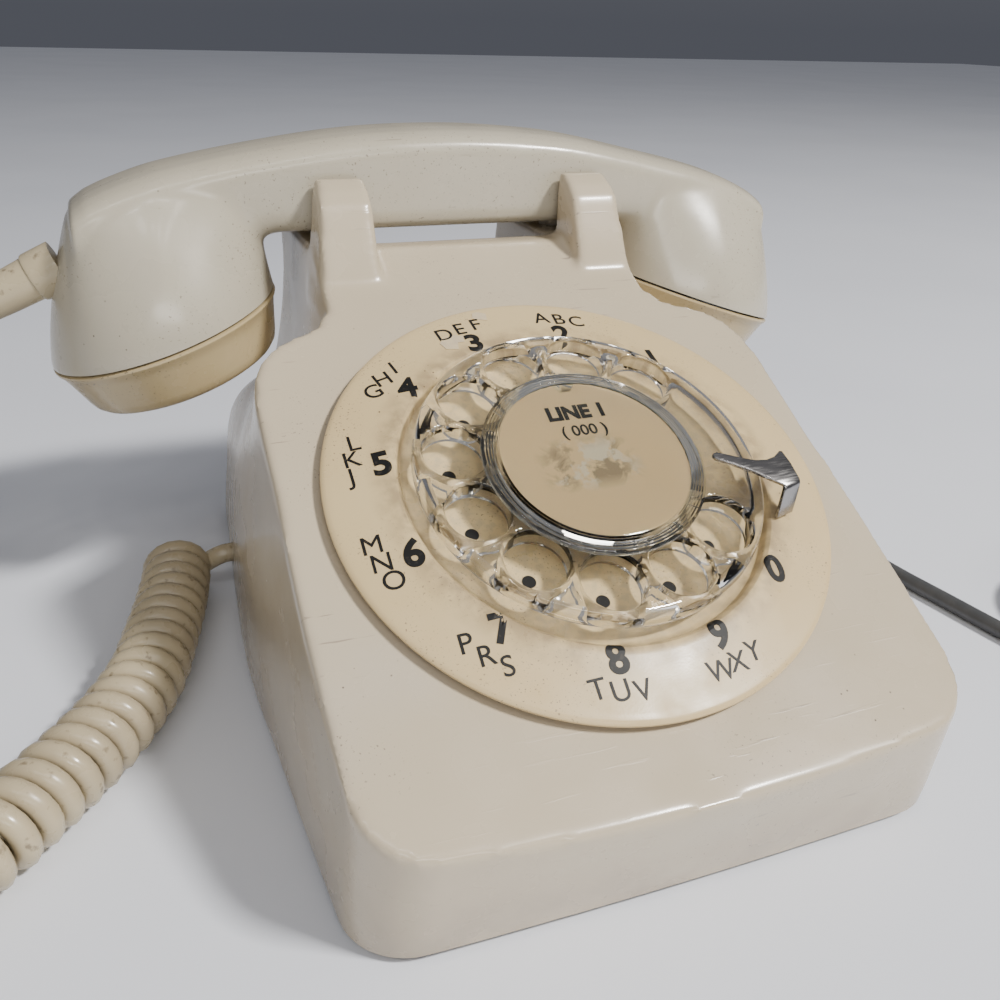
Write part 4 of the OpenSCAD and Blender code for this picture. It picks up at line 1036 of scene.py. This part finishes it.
for side, name, rows in ((-1, "transmitter", ((0, 1), (0.006, 6), (0.012, 12))),
                         (1, "receiver", ((0, 1), (0.006, 6)))):
    cap = turned(name + "_cap_shape", cap_profile, 128, None, cap_cream)
    for radius, count in rows:
        for j in range(count):
            a = 2 * pi * j / count
            combine(cap, rod("sound_hole", -0.016, -0.0110, 0.0011,
                             Matrix.Translation((radius * cos(a), radius * sin(a), 0)), 16), "DIFFERENCE")
    cap.data.transform(under_head(side))
    coat(cap, cap_cream, 32)
    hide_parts(name + "_cap")
    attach(cap, "handset")

# ---------------------------------------------------------------- cord sleeve
# A tapered sleeve of the cord's own vinyl, pushed into the transmitter head's side.
sleeve_frame = (Matrix.Translation((-0.106, handset_y, 0.092))
                @ Matrix.Rotation(radians(-90 - 25), 4, "Y"))
sleeve_profile = mm([(0, -6), (6.2, -6), (6.2, 0.6), (6.0, 1.2), (5.6, 1.5), (5.5, 3), (5.3, 8), (4.9, 14),
                     (4.6, 20), (4.45, 23), (4.2, 23.8), (3.7, 24), (0, 24)])
sleeve = turned("cord_sleeve", sleeve_profile, 48, sleeve_frame, vinyl)
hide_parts("handset_relief")
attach(sleeve, "handset")

# ---------------------------------------------------------------- plungers
# The two buttons the handset rests on: turned white plastic pins with a rounded top, worn
# grey where the handset touches them.
pin_white = Finish("plunger_white", (0.72, 0.70, 0.64), 0.34)
pin_white.clouds(300, 0.5, 0.7, (0.52, 0.49, 0.42), most=0.6)
pin_white.rough(pin_white.noise(200, 4), 0.3, 0.75, 0.24, 0.5)
pin_white.skin(1400, 0.06, 0.0002)
dress(pin_white, "plunger_left", "plunger_right")

# ---------------------------------------------------------------- works of the dial and the bell
# Everything inside keeps its CAD shape: brass and zinc of the dial, plated steel brackets,
# springs, the ringer's coil between iron poles, two gongs and the network block.
def metal(name, colour, roughness, dull, grain=(1, 1, 1), size=220):
    """A worked metal: cloudy tarnish, a fine grain and small pits."""
    finish = Finish(name, colour, roughness, Metallic=1.0)
    finish.clouds(size, 0.45, 0.72, dull, most=0.8)
    at = finish.moved(grain)
    finish.rough(finish.noise(size * 4, 4, at=at), 0.3, 0.72, max(roughness - 0.1, 0.08), roughness + 0.16)
    finish.bump(finish.noise(size * 6, 2, at=at), 0.08, 0.0002)
    return finish


def plastic(name, colour, roughness, worn):
    """A moulded plastic with faint clouds and a fine skin."""
    finish = Finish(name, colour, roughness)
    finish.clouds(150, 0.5, 0.75, worn, most=0.8)
    finish.rough(finish.noise(240, 3), 0.3, 0.75, max(roughness - 0.08, 0.1), roughness + 0.14)
    finish.skin(1600, 0.06, 0.0002)
    return finish


dress(metal("screw_steel", (0.46, 0.46, 0.45), 0.3, (0.28, 0.26, 0.23), (3, 3, 1), 320),
      "housing_screws", "hub_screw", "gong_screws", "network_screws")
dress(metal("plated_steel", (0.56, 0.56, 0.52), 0.28, (0.40, 0.38, 0.30), (1, 4, 1)),
      "wheel_clamp", "dial_frame", "dial_bridge", "dial_brackets", "hook_bracket", "ringer_frame")
dress(metal("shaft_steel", (0.52, 0.52, 0.53), 0.2, (0.36, 0.35, 0.33), (1, 1, 6), 400),
      "dial_shaft", "mid_shaft", "governor_shaft", "hook_pin", "clapper_pin", "volume_pin")
dress(metal("spring_steel", (0.30, 0.30, 0.32), 0.26, (0.18, 0.17, 0.17), (1, 1, 3), 400),
      "return_spring", "hook_spring", "bias_spring")
dress(metal("works_brass", (0.66, 0.50, 0.24), 0.28, (0.42, 0.29, 0.13), (2, 2, 1), 260),
      "main_gear", "mid_gear", "governor_weights", "clapper")
dress(metal("die_cast_zinc", (0.44, 0.45, 0.46), 0.42, (0.30, 0.31, 0.32), (1, 1, 1), 180), "governor_cup")
dress(metal("contact_metal", (0.70, 0.66, 0.52), 0.24, (0.50, 0.42, 0.28), (1, 5, 1), 360),
      "pulse_contacts", "hook_contacts")
dress(metal("gong_brass", (0.70, 0.56, 0.30), 0.18, (0.50, 0.36, 0.16), (1, 1, 5), 90),
      "gong_left", "gong_right")
dress(metal("soft_iron", (0.34, 0.34, 0.34), 0.4, (0.22, 0.19, 0.17), (1, 1, 1), 300),
      "ringer_core", "hook_lever")
dress(metal("magnet_iron", (0.20, 0.20, 0.21), 0.5, (0.12, 0.11, 0.11), (1, 1, 1), 260), "ringer_magnet")
dress(metal("unit_metal", (0.58, 0.58, 0.58), 0.3, (0.44, 0.43, 0.41), (1, 1, 1), 240),
      "transmitter_unit", "receiver_unit")
dress(plastic("cam_white", (0.74, 0.72, 0.66), 0.4, (0.60, 0.56, 0.48)), "pulse_cam")
dress(plastic("coil_tape", (0.42, 0.20, 0.07), 0.42, (0.30, 0.13, 0.05)), "ringer_coil")
dress(plastic("network_grey", (0.16, 0.165, 0.17), 0.5, (0.24, 0.24, 0.24)), "network_block")
